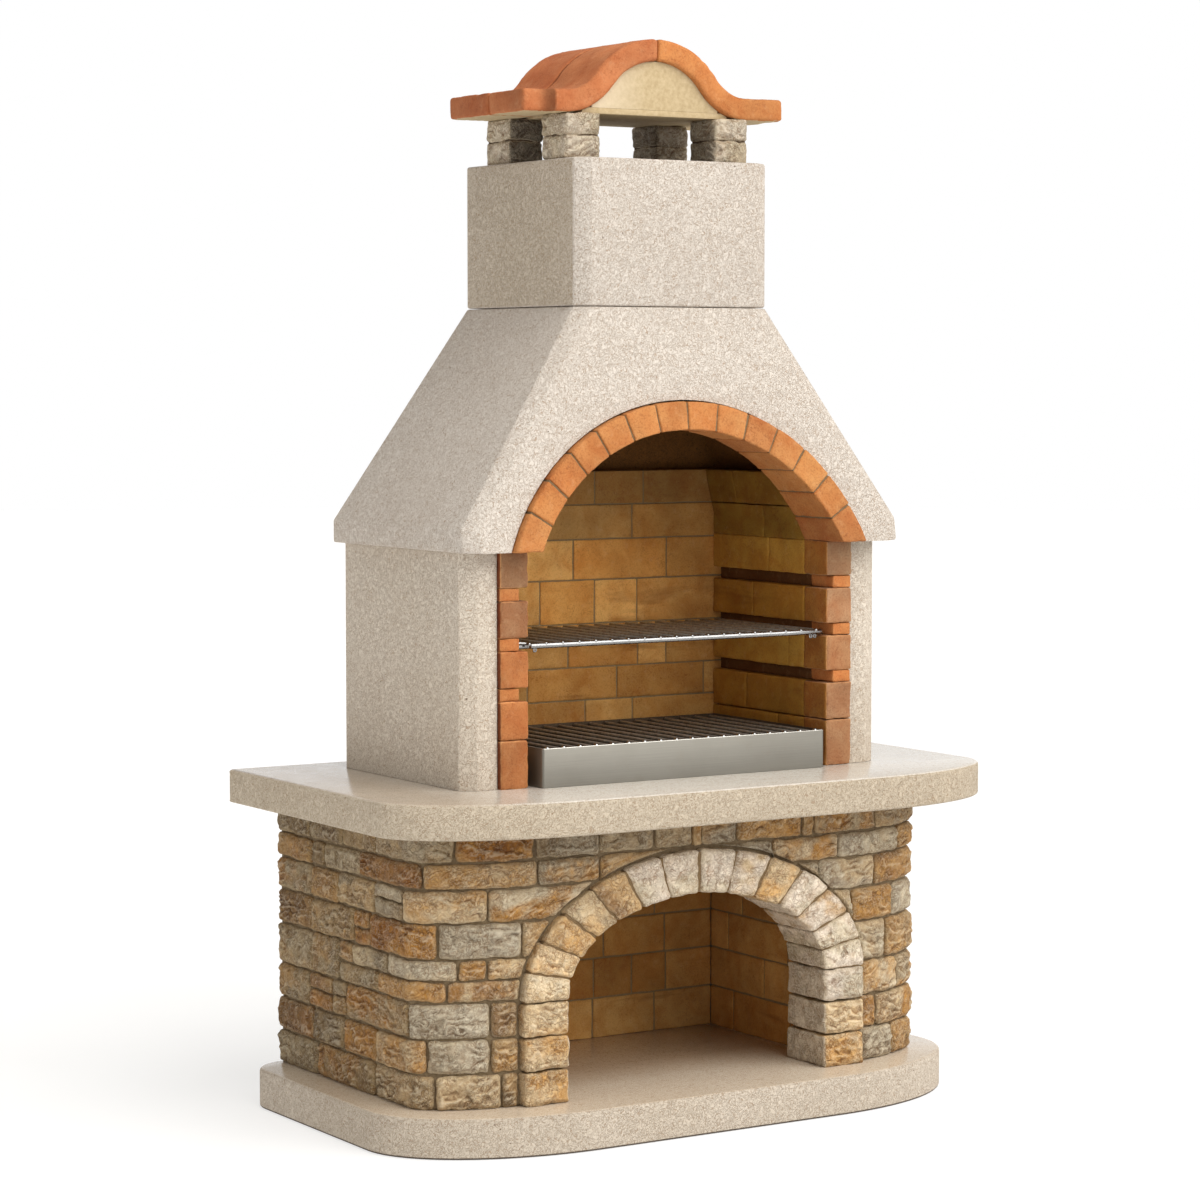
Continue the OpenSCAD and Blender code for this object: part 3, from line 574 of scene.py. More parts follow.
def wall(s, out, z):
    """A point on the stone wall: s along it, out proud of the stone line (mm), z height."""
    x = np.interp(s, WALL_S, WALL[:, 0])
    y = np.interp(s, WALL_S, WALL[:, 1])
    nx = np.interp(s, WALL_S, _vn[:, 0])
    ny = np.interp(s, WALL_S, _vn[:, 1])
    L = np.hypot(nx, ny)
    # the outline runs rear left, front, rear right, so its right-hand side is the inside
    return np.stack([x + nx / L * out, y + ny / L * out, z], 1)


if wall(np.array([100.0]), np.array([10.0]), np.array([0.0]))[0, 0] > -BASE_HW:
    _vn *= -1


def s_of_x(x):
    """Distance along the wall of a front-face point at x (front straight or corner)."""
    front = WALL[:, 1] < BASE_YF + BASE_RY
    return float(np.interp(x, WALL[front, 0], WALL_S[front]))


# ------------------------------------------------------------------ rock-faced blocks
def smooth(a, b, x):
    t = np.clip((x - a) / (b - a), 0, 1)
    return t * t * (3 - 2 * t)


def split_face(x, y, hx, hy, seed, amp, spacing, slant, off):
    """Height of a hammer-split face, mm, and how deep in a crease (0) or on a ridge (1) a point is."""
    Q = np.stack([x, y, np.zeros_like(x)], 1)
    w1 = fbm(Q / 48.0 + off, 2, seed % 41)
    w2 = fbm(Q / 17.0 + off, 2, seed % 43 + 3)
    c, s = math.cos(slant), math.sin(slant)
    w3 = fbm(Q / 8.0 + off, 2, seed % 47 + 3)
    q = (-x * s + y * c + 11.0 * w1 + 6.4 * w2 + 1.6 * w3) / spacing + off[0]
    fr = q - np.floor(q)
    saw = np.where(fr < 0.74, fr / 0.74, (1 - fr) / 0.26) - 0.5
    fade = np.clip(0.36 + 1.3 * fbm(Q / 50.0 + off + 7, 2, seed % 37 + 5), 0.04, 1.0)
    f = facets(Q / 21.0 + off, seed % 97, 0.05, 1.0)
    g = fbm(Q / 6.5 + off, 2, seed % 61)
    h = amp * (0.90 * saw * fade + 0.66 * f) + 0.28 * g
    crease = fade * np.maximum(np.exp(-((fr - 1.0) / 0.13) ** 2), np.exp(-(fr / 0.09) ** 2))
    ridge = fade * np.exp(-((fr - 0.70) / 0.12) ** 2)
    ed = np.minimum(hx - np.abs(x), hy - np.abs(y))
    m = smooth(0.5, 9.0, ed + 1.6 * w2)
    dome = 1 - (1 - smooth(0.0, 16.0, ed)) ** 2
    # a second, finer set of ledges between the big ones
    q2 = (-x * math.sin(slant + 0.5) + y * math.cos(slant + 0.5) + 7.0 * w2 + 5.0 * w1) / (spacing * 0.48) + off[1]
    f2 = q2 - np.floor(q2)
    fade2 = np.clip(0.10 + 1.3 * fbm(Q / 34.0 + off + 17, 2, seed % 31 + 9), 0.0, 1.0)
    c2 = fade2 * np.exp(-(np.minimum(f2, 1 - f2) / 0.15) ** 2)
    r2 = fade2 * np.exp(-((f2 - 0.70) / 0.17) ** 2)
    h = h + amp * 0.22 * fade2 * np.where(f2 < 0.7, f2 / 0.7, (1 - f2) / 0.3)
    rel = np.clip(0.5 + (0.42 * (ridge - crease) + 0.22 * (r2 - c2) + 0.20 * f) * m, 0, 1)
    return h * m + amp * 0.55 * (dome - 0.6), rel, m


def rock_block(B, size, tones, warp, seed, res=3.0, edge=7.0, amp=3.0, faces=(2,), spacing=24.0, slant=None, bias=0.0,
               deep=9.0, painted_face_shade=(), tint=None, paint=(), up=0.32):
    """A split stone. The listed axes' outer faces are rock-faced; two tones are blended over it."""
    multi = len(faces) > 1
    P, N, Q = rounded_block(size, edge, (res, res, res if multi else deep))
    h = np.array(size) / 2
    off = np.array([seed * 0.731 % 97, seed * 1.377 % 89, seed * 2.113 % 83])
    if slant is None:
        slant = math.radians((seed % 31) - 15)
    D = np.zeros(len(P))
    rel = np.full(len(P), 0.5)
    near = np.zeros(len(P))
    for ax in faces:
        a, s = (ax, 1) if ax >= 0 else (-ax - 1, -1)
        if a == 2:
            x, y, hx, hy = P[:, 0], P[:, 1], h[0], h[1]
        elif a == 0:
            x, y, hx, hy = P[:, 2], P[:, 1], h[2], h[1]
        else:
            x, y, hx, hy = P[:, 0], P[:, 2], h[0], h[2]
        k = smooth(0.25, 0.9, N[:, a] * s)
        use = k > 0
        f, r, m = split_face(x[use], y[use], hx, hy, seed + 7 * a + (s < 0), amp, spacing, slant, off + a)
        # the relief value is raised where the face turns up and lowered where it turns down, so the material paints it
        # lighter and darker: painted light from above
        rise = (split_face(x[use], y[use] + 2.2, hx, hy + 2.2, seed + 7 * a + (s < 0), amp, spacing, slant, off + a)[0] - f) / 2.2
        r = np.clip(r - np.clip(rise * up, -0.34, 0.34) * m, 0, 1)
        D[use] += f * k[use]
        rel[use] = rel[use] * (1 - k[use]) + r * k[use]
        near[use] = np.maximum(near[use], k[use] * m)
    D += fbm(P / 20.0 + off, 2, seed % 53) * 0.8 * (1 - near)
    A_, B_ = np.array(tones[0]), np.array(tones[1])
    n = fbm(P / 52.0 + off + 31, 3, seed % 29)
    t = smooth(-0.45, 0.80, n * 0.9 + bias * P[:, 0] / h[0] * 0.6 + 0.30 * fbm(P / 15.0 + off + 41, 2, seed % 19))
    col = A_ + (B_ - A_) * t[:, None]
    col = col * (1 + 0.13 * fbm(P / 13.0 + off + 3, 3, seed % 23))[:, None]
    # the hammered rim is a little paler than the face
    col = col + (np.array(lin(182, 164, 132)) - col) * (0.30 * (1 - near))[:, None]
    for a, sgn, other in paint:
        col = col + (np.array(other) * (1 + 0.08 * n[:, None]) - col) * smooth(0.35, 0.85, N[:, a] * sgn)[:, None]
    if tint is not None:
        col = col * np.array(tint)
    # faces turned along the listed axes are darkened: painted shade
    for a, sgn, k in painted_face_shade:
        col = col * (1 - (1 - k) * smooth(0.4, 0.9, N[:, a] * sgn))[:, None]
    wob = np.stack([fbm(P[:, [1, 1, 2]] / 30 + off, 2, 3), fbm(P[:, [0, 0, 2]] / 34 + off, 2, 4)], 1)
    P2 = P + N * D[:, None]
    P2[:, 0] += wob[:, 0] * 2.3 * np.abs(P[:, 0]) / h[0]
    P2[:, 1] += wob[:, 1] * 2.0 * np.abs(P[:, 1]) / h[1]
    B.add(warp(P2), Q, np.clip(col, 0.003, 1), rel)


# ------------------------------------------------------------------ plinth and worktop
bm = prism(slab_outline(673, -348, 402, 390, 234, 79), 0, Z_PL, 7, 5)
o = bm_object(bm, "plinth_slab_cast", [MAT["cast_low"], MAT["cast_floor"]], "masonry", "plinth_slab")
for p in o.data.polygons:
    if p.normal.z > 0.8:
        p.material_index = 1

bm = prism(slab_outline(704.5, -408, 408, 384, 195, 0, 56), Z_SLAB, Z_TOP, 8, 5, seg=4, side_bevel=4)
# the edges take the darker copy of the cast stone: painted shade
o = bm_object(bm, "worktop_slab_cast", [MAT["cast_top"], MAT["polish"]], "masonry", "worktop_slab")
for p in o.data.polygons:
    if p.normal.z > 0.8:
        p.material_index = 1


# ------------------------------------------------------------------ stone cladding
SHADE = 0.79
TONE = {
    "g": (178, 165, 141), "lg": (202, 190, 167), "gb": (147, 128, 99), "gt": (182, 161, 127), "t": (192, 160, 114), "p": (221, 208, 191),
    "tc": (206, 182, 144), "c": (214, 198, 168), "o": (190, 141, 74), "do": (158, 107, 47), "ot": (197, 155, 97),
    "pg": (190, 178, 160), "ob": (162, 119, 67), "b": (148, 116, 78),
}


def tones(code, shade=None):
    a, b = code.split()
    k = (SHADE if shade is None else shade) * rng.uniform(0.92, 1.06)
    return [tuple(v * k for v in lin(*TONE[c])) for c in (a, b)]


def arch_hw(z, g=0.0):
    if z <= NA_Z:
        return NA_AO + g
    t = 1 - ((z - NA_Z) / (NA_BO + g)) ** 2
    return (NA_AO + g) * math.sqrt(t) if t > 0 else 0.0


def lay(B, s0, s1, z0, z1, code, side=0):
    """One cladding stone between two points along the wall; ends by the arch follow its curve."""
    L, H, D = s1 - s0, z1 - z0, 40.0
    tilt = rng.uniform(-0.008, 0.008)
    puff = rng.uniform(-1.5, 2.5)
    left = (s0 + s1) / 2 < WALL_L / 2
    by_arch = z0 < NA_Z + NA_BO + 6 and abs((s0 + s1) / 2 - WALL_L / 2) < 620

    def warp(P):
        v = P[:, 1] + (z0 + z1) / 2 + P[:, 0] * tilt
        s = P[:, 0] + (s0 + s1) / 2
        if by_arch:
            lim = np.array([arch_hw(zz, 6.0) for zz in np.round(v, 1)])
            if left:
                e = np.interp(-lim, FRONT_X, FRONT_S)
                if side:
                    s = s0 + np.clip((s - s0) / L, 0, 1) * (np.maximum(e, s0 + 2) - s0)
                s = np.minimum(s, np.maximum(e, s0 + 1))
            else:
                e = np.interp(lim, FRONT_X, FRONT_S)
                if side:
                    s = s1 - np.clip((s1 - s) / L, 0, 1) * (s1 - np.minimum(e, s1 - 2))
                s = np.maximum(s, np.minimum(e, s1 - 1))
        return wall(s, P[:, 2] + puff - D / 2, v)
    # the left-hand side of the wall is painted a little darker and browner: painted shade
    w = 1.0 - min(1.0, max(0.0, (s0 - 230) / 300))
    k = SHADE * (1 - 0.20 * w)
    tint = (1.0, 0.985 - 0.08 * w, 0.96 - 0.22 * w)
    rock_block(B, (L, H, D), tones(code, k), warp, int(rng.integers(1, 9000)), res=2.4, edge=min(8.0, H * 0.19, L * 0.19),
               amp=min(5.2, H * 0.10), spacing=rng.uniform(16, 25), bias=rng.uniform(-1, 1), tint=tint)


_fr = WALL[:, 1] < BASE_YF + BASE_RY
FRONT_X, FRONT_S = WALL[_fr, 0], WALL_S[_fr]
ARCH = "arch"
# Courses from the ground up, each from the rear left round to the rear right. A stone is
# (where it ends along the wall in mm, its two tones); one laid in two thin rows gives both rows.
COURSES = [
    [(171, "g gb"), (409, "gt o"), (602, "gt tc"), (734, "tc gt"), (780, "t gb"), ARCH, (1690, "g lg"), (1835, "ot t")],
    [(152, "b ob"), (281, "gb g"), (417, "o ot"), (586, "ot tc"), (712, "lg g"), (780, "t ot"), ARCH, (1636, "o ob"),
     (1810, "tc o")],
    [(136, "t g"), (233, [(233, "ob o")], [(233, "ob t")], 0.52), (291, [(291, "gt t")], [(291, "g gt")], 0.55),
     (541, "gt o"), (712, "lg g"), (780, "t b"), ARCH, (1706, "ot c"), (1850, "gt o")],
    [(149, "g tc"), (263, "t g"),
     (820, [(425, "gt g"), (625, "o ot"), (820, "ob tc")], [(319, "ot g"), (462, "c g"), (648, "lg c"), (706, "o t"), (820, "ot tc")], 0.50),
     ARCH, (1666, "c tc"), (1820, "ot t")],
    [(147, "b t"), (326, "gt t"), (390, [(390, "do o")], [(390, "o ob")], 0.5), (608, "do o"), (777, "lg g"), (830, "tc ot"),
     ARCH, (1563, "c tc"), (1688, "o ot"), (1840, "lg c")],
    [(146, "g o"), (262, "t ot"), (412, "tc g"), (525, [(525, "g gt")], [(525, "g lg")], 0.55), (707, "tc ot"), (892, "o c"),
     ARCH, (1475, "g tc"), (1631, "lg tc"), (1815, "ob ot")],
    [(146, "ot t"), (201, "gb g"), (351, "lg g"), (578, "ob do"), (811, "tc ot"), (951, "g ot"), (1030, "ot tc"),
     ARCH, (1361, "g lg"), (1524, "tc o"), (1710, "lg c"), (1835, "o ot")],
    [(142, "gb g"), (277, "g gb"), (415, "gt gb"), (642, "g gt"), (805, "do o"), (949, "g gb"), (1078, "gt g"), (1166, "gt g"),
     (1188, "o t"), (1275, "t g"), (1434, "ot o"), (1463, "ot t"), (1631, "gt o"), (1770, "t gt")],
]
LEVELS = [79, 147, 215, 286, 369, 439, 504, 555.5, 620]
GAP = 2.3
for row, course in enumerate(COURSES):
    B = Builder()
    z0, z1 = LEVELS[row], LEVELS[row + 1]
    stones = []
    prev, side_next = 0.0, 0
    for i, item in enumerate(course):
        if item == ARCH:
            prev, side_next = s_of_x(arch_hw(min(z1 - 4, NA_Z + NA_BO), 7.0)), 1
            continue
        last = i + 1 < len(course) and course[i + 1] == ARCH
        if len(item) == 2:
            stones.append((prev, item[0], 0.0, 1.0, item[1], side_next or (-1 if last else 0)))
        else:
            for k, (sub, f0, f1) in enumerate(((item[1], 0.0, item[3]), (item[2], item[3], 1.0))):
                p = prev
                for e, code in sub:
                    stones.append((p, e, f0, f1, code, -1 if last and e == item[0] else 0))
                    p = e
        prev, side_next = item[0], 0
    # the rest of the right side, which repeats the same kind of lengths
    while WALL_L - prev > 1:
        e = prev + rng.uniform(110, 235)
        if WALL_L - e < 95:
            e = WALL_L
        code = " ".join(rng.choice(list(TONE), 2))
        if rng.random() < 0.22:
            f = rng.uniform(0.45, 0.56)
            stones.append((prev, e, 0.0, f, code, 0))
            stones.append((prev, e, f, 1.0, " ".join(rng.choice(list(TONE), 2)), 0))
        else:
            stones.append((prev, e, 0.0, 1.0, code, 0))
        prev = e
    for a, b, f0, f1, code, side in stones:
        za, zb = z0 + (z1 - z0) * f0, z0 + (z1 - z0) * f1
        za += GAP * (0.3 if za <= Z_PL else 1)
        zb -= GAP
        a += GAP * (side <= 0 and a > 0)
        b -= GAP * (side >= 0 and b < WALL_L)
        lay(B, a, b, za, zb, code, side)
    B.make(f"stone_course_{row + 1}_rock", MAT["rock"], "masonry", f"stone_course_{row + 1}", 60)

# mortar behind and between the stones: a rough sheet a little behind the faces
B = Builder()
ss = np.arange(0, WALL_L + 1, 7.0)
zs = np.arange(Z_PL, Z_SLAB + 1, 7.0)
S, Z = np.meshgrid(ss, zs, indexing="ij")
P0 = wall(S.ravel(), np.zeros(S.size), Z.ravel())
dep = -10.0 + fbm(P0 / 24, 3, 5) * 1.2
P0 = wall(S.ravel(), dep, Z.ravel())
ok = ~((np.abs(P0[:, 0]) < NA_AO - 12) & (P0[:, 1] < -100) & ((P0[:, 2] < NA_Z) | (((P0[:, 0]) / (NA_AO - 12)) ** 2 + ((P0[:, 2] - NA_Z) / (NA_BO - 12)) ** 2 < 1)))
idx = np.arange(S.size).reshape(S.shape)
Q = np.stack([idx[:-1, :-1], idx[1:, :-1], idx[1:, 1:], idx[:-1, 1:]], -1).reshape(-1, 4)
Q = Q[ok[Q].all(1)]
used = np.unique(Q)
remap = -np.ones(S.size, np.int64)
remap[used] = np.arange(len(used))
B.add(P0[used], remap[Q], (1, 1, 1))
o = B.make("wall_mortar_bed", MAT["mortar"], "masonry", ["bed_mortar"])
sol = o.modifiers.new("thick", "SOLIDIFY")
sol.thickness = 0.008
sol.offset = -1


# ------------------------------------------------------------------ niche arch, pilasters
def ell(a, b, t):
    return a * np.cos(t), NA_Z + b * np.sin(t)


# from the right springer over the crown to the left one
VTONE = ["p lg", "p lg", "p ot", "p lg", "tc ot", "p tc", "p lg", "p lg", "p lg", "b t", "gt t", "t ot", "tc o", "tc c"]


def voussoir_niche(B, t0, t1, k):
    tm = (t0 + t1) / 2
    L = abs(t1 - t0) * 0.5 * ((NA_AO + NA_AI) / 2 + (NA_BO + NA_BI) / 2)
    R = 96.0
    D = 135.0

    def warp(P):
        t = tm + (P[:, 0] / L) * (t1 - t0)
        r = P[:, 1] / R + 0.5
        xi, zi = ell(NA_AI, NA_BI, t)
        xo, zo = ell(NA_AO, NA_BO, t)
        return np.stack([xi + (xo - xi) * r, -127 - D / 2 - P[:, 2], zi + (zo - zi) * r], 1)
    # local: x along the arch (angle grows), y radial, z towards the viewer
    rock_block(B, (L, R, D), tones(VTONE[k], 1.16), warp, 300 + k * 7, edge=6.5, amp=4.4, res=2.5, faces=(2,), spacing=21,
               slant=math.radians(78 + (k * 37) % 24), bias=(-1) ** k * 0.6, deep=3.4)


B = Builder()
gapang = 0.0066
for i in range(NA_N):
    voussoir_niche(B, pi * i / NA_N + gapang, pi * (i + 1) / NA_N - gapang, i)
for arr in B.f:
    arr[:] = arr[:, ::-1]
B.make("niche_arch_rock", MAT["rock"], "masonry", "niche_arch_stones", 60)

PTONE = {-1: ["tc ot", "ot tc", "tc ot"], 1: ["ot tc", "tc ot", "p lg"]}
for s, nm in ((-1, "left"), (1, "right")):
    B = Builder()
    hh = (NA_Z - Z_PL) / 3
    for i in range(3):
        za, zb = Z_PL + hh * i + (0 if i == 0 else 2.0), Z_PL + hh * (i + 1) - 2.0

        def warp(P, za=za, zb=zb, s=s):
            return np.stack([s * 354.5 + P[:, 0], -194.5 - P[:, 2], (za + zb) / 2 + P[:, 1]], 1)
        rock_block(B, (99, zb - za, 135), tones(PTONE[s][i], 1.0), warp, 500 + i * 3 + (s > 0), edge=6, amp=4.6, res=2.5, faces=(2,),
                   spacing=19, bias=0.5, deep=3.4, paint=((0, -s, lin(208, 194, 172)),))
    for arr in B.f:
        arr[:] = arr[:, ::-1]
    B.make(f"niche_pilaster_{nm}_rock", MAT["rock"], "masonry", f"niche_pilaster_{nm}", 60)

# joint mortar of the niche arch: a plain curved band a little behind the stones
B = Builder()
T = np.linspace(0, pi, 57)
prof = [(-256, 0.05), (-256, 0.955), (-135, 0.955), (-135, 0.05)]
pts = []
for t in T:
    for y, r in prof:
        xi, zi = ell(NA_AI, NA_BI, t)
        xo, zo = ell(NA_AO, NA_BO, t)
        pts.append((xi + (xo - xi) * r, y, zi + (zo - zi) * r))
pts = np.array(pts)
n = len(T)
Q = []
for i in range(n - 1):
    for j in range(4):
        Q.append((i * 4 + j, i * 4 + (j + 1) % 4, (i + 1) * 4 + (j + 1) % 4, (i + 1) * 4 + j))
Q.append((0, 3, 2, 1))
Q.append(tuple((n - 1) * 4 + k for k in (0, 1, 2, 3)))
B.add(pts, np.array(Q)[:, ::-1], (1, 1, 1))
B.make("niche_arch_joints", MAT["joint"], "masonry", "niche_arch_mortar")


# ------------------------------------------------------------------ bricks
def brick_block(B, size, centre, colour, seed, r=2.5, res=9.0, amp=0.7, warp=None, paint=(), wear_and_highlight=0.0, shade=None):
    P, N, Q = rounded_block(size, r, res)
    off = np.array([seed * 3.71, seed * 1.93, seed * 7.17])
    d = fbm(P / 28 + off, 3, seed % 31) * amp + fbm(P / 7 + off, 2, seed % 17) * amp * 0.4
    edge = np.abs(N).max(1) < 0.93
    d = np.where(edge, d - np.clip(fbm(P / 12 + off, 2, 9), 0, 1) * amp * 1.6, d)
    tint = 1 + 0.11 * fbm(P / 70 + off + 5, 2, seed % 13)
    P = P + N * d[:, None]
    P = P0 = P + np.array(centre)
    if warp is not None:
        P = warp(P)
    col = np.tile(np.array(colour), (len(P), 1))
    for sgn, other in paint:
        col = col + (np.array(other) - col) * smooth(0.5, 0.9, N[:, 0] * sgn)[:, None]
    if shade is not None:
        col = col * shade(P0)[:, None]
    # pale rounded edges, stronger on raised spots: edge wear and painted highlight
    if wear_and_highlight:
        k = smooth(0.02, 0.28, 1 - np.abs(N).max(axis=1)) * wear_and_highlight * (0.55 + 0.45 * smooth(-0.3, 0.3, d / amp))
        col = col + (np.array(lin(232, 176, 118)) - col) * k[:, None]
    B.add(P, Q, col * tint[:, None], np.clip(0.5 + d / (amp * 3), 0, 1))


FIRE = [(190, 140, 78), (182, 130, 68), (196, 148, 86), (186, 136, 74), (176, 124, 64), (192, 144, 82)]


def fire_tone(k=1.0, blue=1.0):
    c = np.array(FIRE[int(rng.integers(0, len(FIRE)))], float) * rng.uniform(0.95, 1.04)
    r, g, b = lin(*np.clip(c, 0, 255))
    return k * r, k * g * 1.03, k * b * blue


# rear lining: the levels of its bed joints and, row by row, the places of its upright joints
FROWS = [Z_TOP, Z_TOP + 43, Z_TOP + 117.5, Z_TOP + 186.5, Z_TOP + 278, Z_TOP + 370, Z_TOP + 455, Z_HOOD + 67.5, Z_HOOD + 137]
FJOINT = [(-130, 90, 310), (-188, 32, 150, 370), (-329, -109, 111, 331), (-230, -10, 163, 235), (-299, -79, 55, 161, 381),
          (-217, 3, 236), (-305, -85, 149, 369), (-164, 56, 177)]
B = Builder()
for r, js in enumerate(FJOINT):
    hw = 374 if r == 7 else 418
    cuts = [-hw] + [x for x in js if abs(x) < hw - 20] + [hw]
    for a, b in zip(cuts[:-1], cuts[1:]):
        a2, b2 = a + (1.6 if a > -hw else 0), b - (1.6 if b < hw else 0)
        za, zb = FROWS[r] + (1.6 if r else 0), FROWS[r + 1] - (1.6 if r < 7 else 0)
        # the rear bricks are painted lighter in the middle, more so around a patch near the centre, and darker towards
        # the top under the hood: painted pool of light and painted shade
        k = 1.0 + 0.34 * float(smooth(840, 1010, (za + zb) / 2)) - 0.60 * float(smooth(1090, 1240, (za + zb) / 2))
        k *= 1.0 + 0.30 * math.exp(-(((a + b) / 2 - 60) / 190) ** 2 - (((za + zb) / 2 - 1010) / 130) ** 2)
        brick_block(B, (b2 - a2, 30, zb - za), ((a2 + b2) / 2, 236, (za + zb) / 2), fire_tone(k), int(rng.integers(1, 999)), 1.6, 9, 0.6)
B.make("firebrick_rear_bricks", MAT["fire"], "masonry", "firebrick_rear")
# pointing between the rear bricks, nearly flush
B = Builder()
P, N, Q = rounded_block((834, 27, 527), 1, 40)
B.add(P + np.array([0, 236.5, Z_TOP + 263.5]), Q, (1, 1, 1))
P, N, Q = rounded_block((746, 27, 70), 1, 40)
B.add(P + np.array([0, 236.5, Z_HOOD + 102]), Q, (1, 1, 1))
B.make("firebrick_rear_pointing", MAT["firejoint"], "masonry", None)

THICK = [(Z_TOP, 781), (783, 858), (883, 955), (980, 1052), (1077, Z_HOOD)]
CUT_Y = [-20, 96, -57, 72, 15]
THIN = [858, 955, 1052]
for s, nm in ((-1, "left"), (1, "right")):
    B = Builder()
    for (a, b), c in zip(THICK, CUT_Y):
        ft = np.array(fire_tone(1.0, 0.55))
        for y0, y1 in ((-112, c - 0.4), (c + 0.4, 221)):
            brick_block(B, (63, y1 - y0, b - a), (s * 386.5, (y0 + y1) / 2, (a + b) / 2), ft * rng.uniform(0.98, 1.02), int(rng.integers(1, 999)), 3.0, amp=0.7)
    B.make(f"side_bricks_{nm}_rails", MAT["fire"], "masonry", f"side_bricks_{nm}")
    B = Builder()
    # the thin bricks at the back of the grooves are painted dark brown: painted shade in the grooves
    for z in THIN:
        brick_block(B, (43, 333, 25), (s * 396.5, 54.5, z + 12.5), lin(104, 68, 34), int(rng.integers(1, 999)), 1.5)
    B.make(f"groove_bricks_{nm}_thin", MAT["fire"], "masonry", f"groove_bricks_{nm}")

    # jambs: five thick terracotta bricks and three thin ones set back
    B = Builder()
    tone5 = [(160, 104, 61), (171, 109, 62), (172, 110, 63), (150, 110, 77), (141, 105, 74)] if s < 0 else \
            [(160, 119, 84), (159, 118, 84), (168, 121, 82), (168, 128, 93), (149, 118, 88)]
    zz = [(Z_TOP, 781.5), (783.5, 857.5), (883.5, 954.5), (980.5, 1051.5), (1077.5, Z_HOOD)]
    # the outer side of each jamb brick, in the corner against the cast wall, is painted dark brown: painted shade; the
    # inner side takes a deeper orange
    for (a, b), t in zip(zz, tone5):
        brick_block(B, (63, 80, b - a), (s * 386.5, -152, (a + b) / 2), lin(*t), int(rng.integers(1, 999)), 3.5, 6, 1.1,
                    paint=((-s, lin(166, 112, 50)), (s, lin(112, 58, 28))), wear_and_highlight=0.5)
    # the outer sides of the thin bricks are painted dark brown too: painted shade
    for z in THIN:
        brick_block(B, (44, 77, 24), (s * 396, -150.5, z + 12.5), lin(*((180, 117, 66) if s < 0 else (196, 128, 72))), int(rng.integers(1, 999)),
                    2.5, 6, 0.8, paint=((s, lin(112, 58, 28)),), wear_and_highlight=0.3)
    B.make(f"jamb_bricks_{nm}_clay", MAT["brick"], "masonry", f"jamb_bricks_{nm}")

    # upper side lining, two courses leaning in
    B = Builder()
    for (za, zb, c) in ((Z_HOOD, Z_HOOD + 66.5, 32), (Z_HOOD + 68.5, Z_HOOD + 137, 122)):
        # these bricks are painted darker than the lining below: painted shade under the hood
        ft = np.array(fire_tone(0.60, 0.46))
        for y0, y1 in ((-112, c - 0.4), (c + 0.4, 221)):
            def warp(P, s=s):
                z = P[:, 2]
                t = np.clip((z - Z_BAND) / 92, 0, 1)
                u = np.clip((P[:, 0] * s - 355) / 63, -0.1, 1.1)
                inner = 355 - 22 * t
                outer = 418 - 42 * t
                return np.stack([s * (inner + (outer - inner) * u), P[:, 1], z], 1)
            brick_block(B, (63, y1 - y0, zb - za), (s * 386.5, (y0 + y1) / 2, (za + zb) / 2), ft * rng.uniform(0.98, 1.02), int(rng.integers(1, 999)), 2.0, warp=warp)
    B.make(f"throat_lining_{nm}_bricks", MAT["fire"], "masonry", f"throat_lining_{nm}")

# niche lining: six rows, with the upright joints of each
NROWS = [Z_PL, Z_PL + 85, Z_PL + 170, Z_PL + 252, Z_PL + 337, Z_PL + 421, Z_SLAB]
NREAR = [(-308, -150, 72, 229), (-245, -35, 75, 171, 258), (-330, -120, 100, 255), (-210, 10, 230), (-300, -80, 140), (-190, 30, 250)]
NSIDE = [(-40, 170), (56,), (-30, 190), (138,), (-10, 200), (90,)]


def row_bricks(B, x0, x1, rows, joints, j, place):
    for r, js in enumerate(joints):
        cuts = [x0] + [x for x in js if x0 + 20 < x < x1 - 20] + [x1]
        for a, b in zip(cuts[:-1], cuts[1:]):
            place(a + (j / 2 if a > x0 else 0), b - (j / 2 if b < x1 else 0),
                  rows[r] + (j / 2 if r else 0), rows[r + 1] - (j / 2 if r < len(joints) - 1 else 0))


B = Builder()
row_bricks(B, -375, 375, NROWS, NREAR, 4, lambda a, b, c, d: brick_block(B, (b - a, 25, d - c), ((a + b) / 2, 268.5, (c + d) / 2), fire_tone(1.02), int(rng.integers(1, 999)), 1.8))
B.make("niche_bricks_rear_tan", MAT["fire"], "masonry", "niche_bricks_rear")
for s, nm in ((-1, "left"), (1, "right")):
    B = Builder()
    row_bricks(B, -126, 256, NROWS, NSIDE, 4, lambda a, b, c, d: brick_block(B, (25, b - a, d - c), (s * 387.5, (a + b) / 2, (c + d) / 2), fire_tone(1.02), int(rng.integers(1, 999)), 1.8))
    B.make(f"niche_bricks_{nm}_tan", MAT["fire"], "masonry", f"niche_bricks_{nm}")
B = Builder()
for size, c in (((750, 21, 540), (0, 268.8, 349.5)), ((21, 376, 540), (-387.8, 66, 349.5)), ((21, 376, 540), (387.8, 66, 349.5))):
    P, N, Q = rounded_block(size, 1, 60)
    B.add(P + np.array(c), Q, (1, 1, 1))
B.make("niche_pointing", MAT["firejoint"], "masonry", None)


# brick arch: its face leans back with the hood
def hood_face(z):
    return -235 + (235 - 170.6) * (z - Z_HOOD) / (Z_CHIM - Z_HOOD)


ti, to = math.asin(158 / BA_RI), math.asin(158 / BA_RO)
tm_ = (ti + to) / 2


def ba_joint(i):
    return tm_ + (pi - 2 * tm_) * i / BA_N


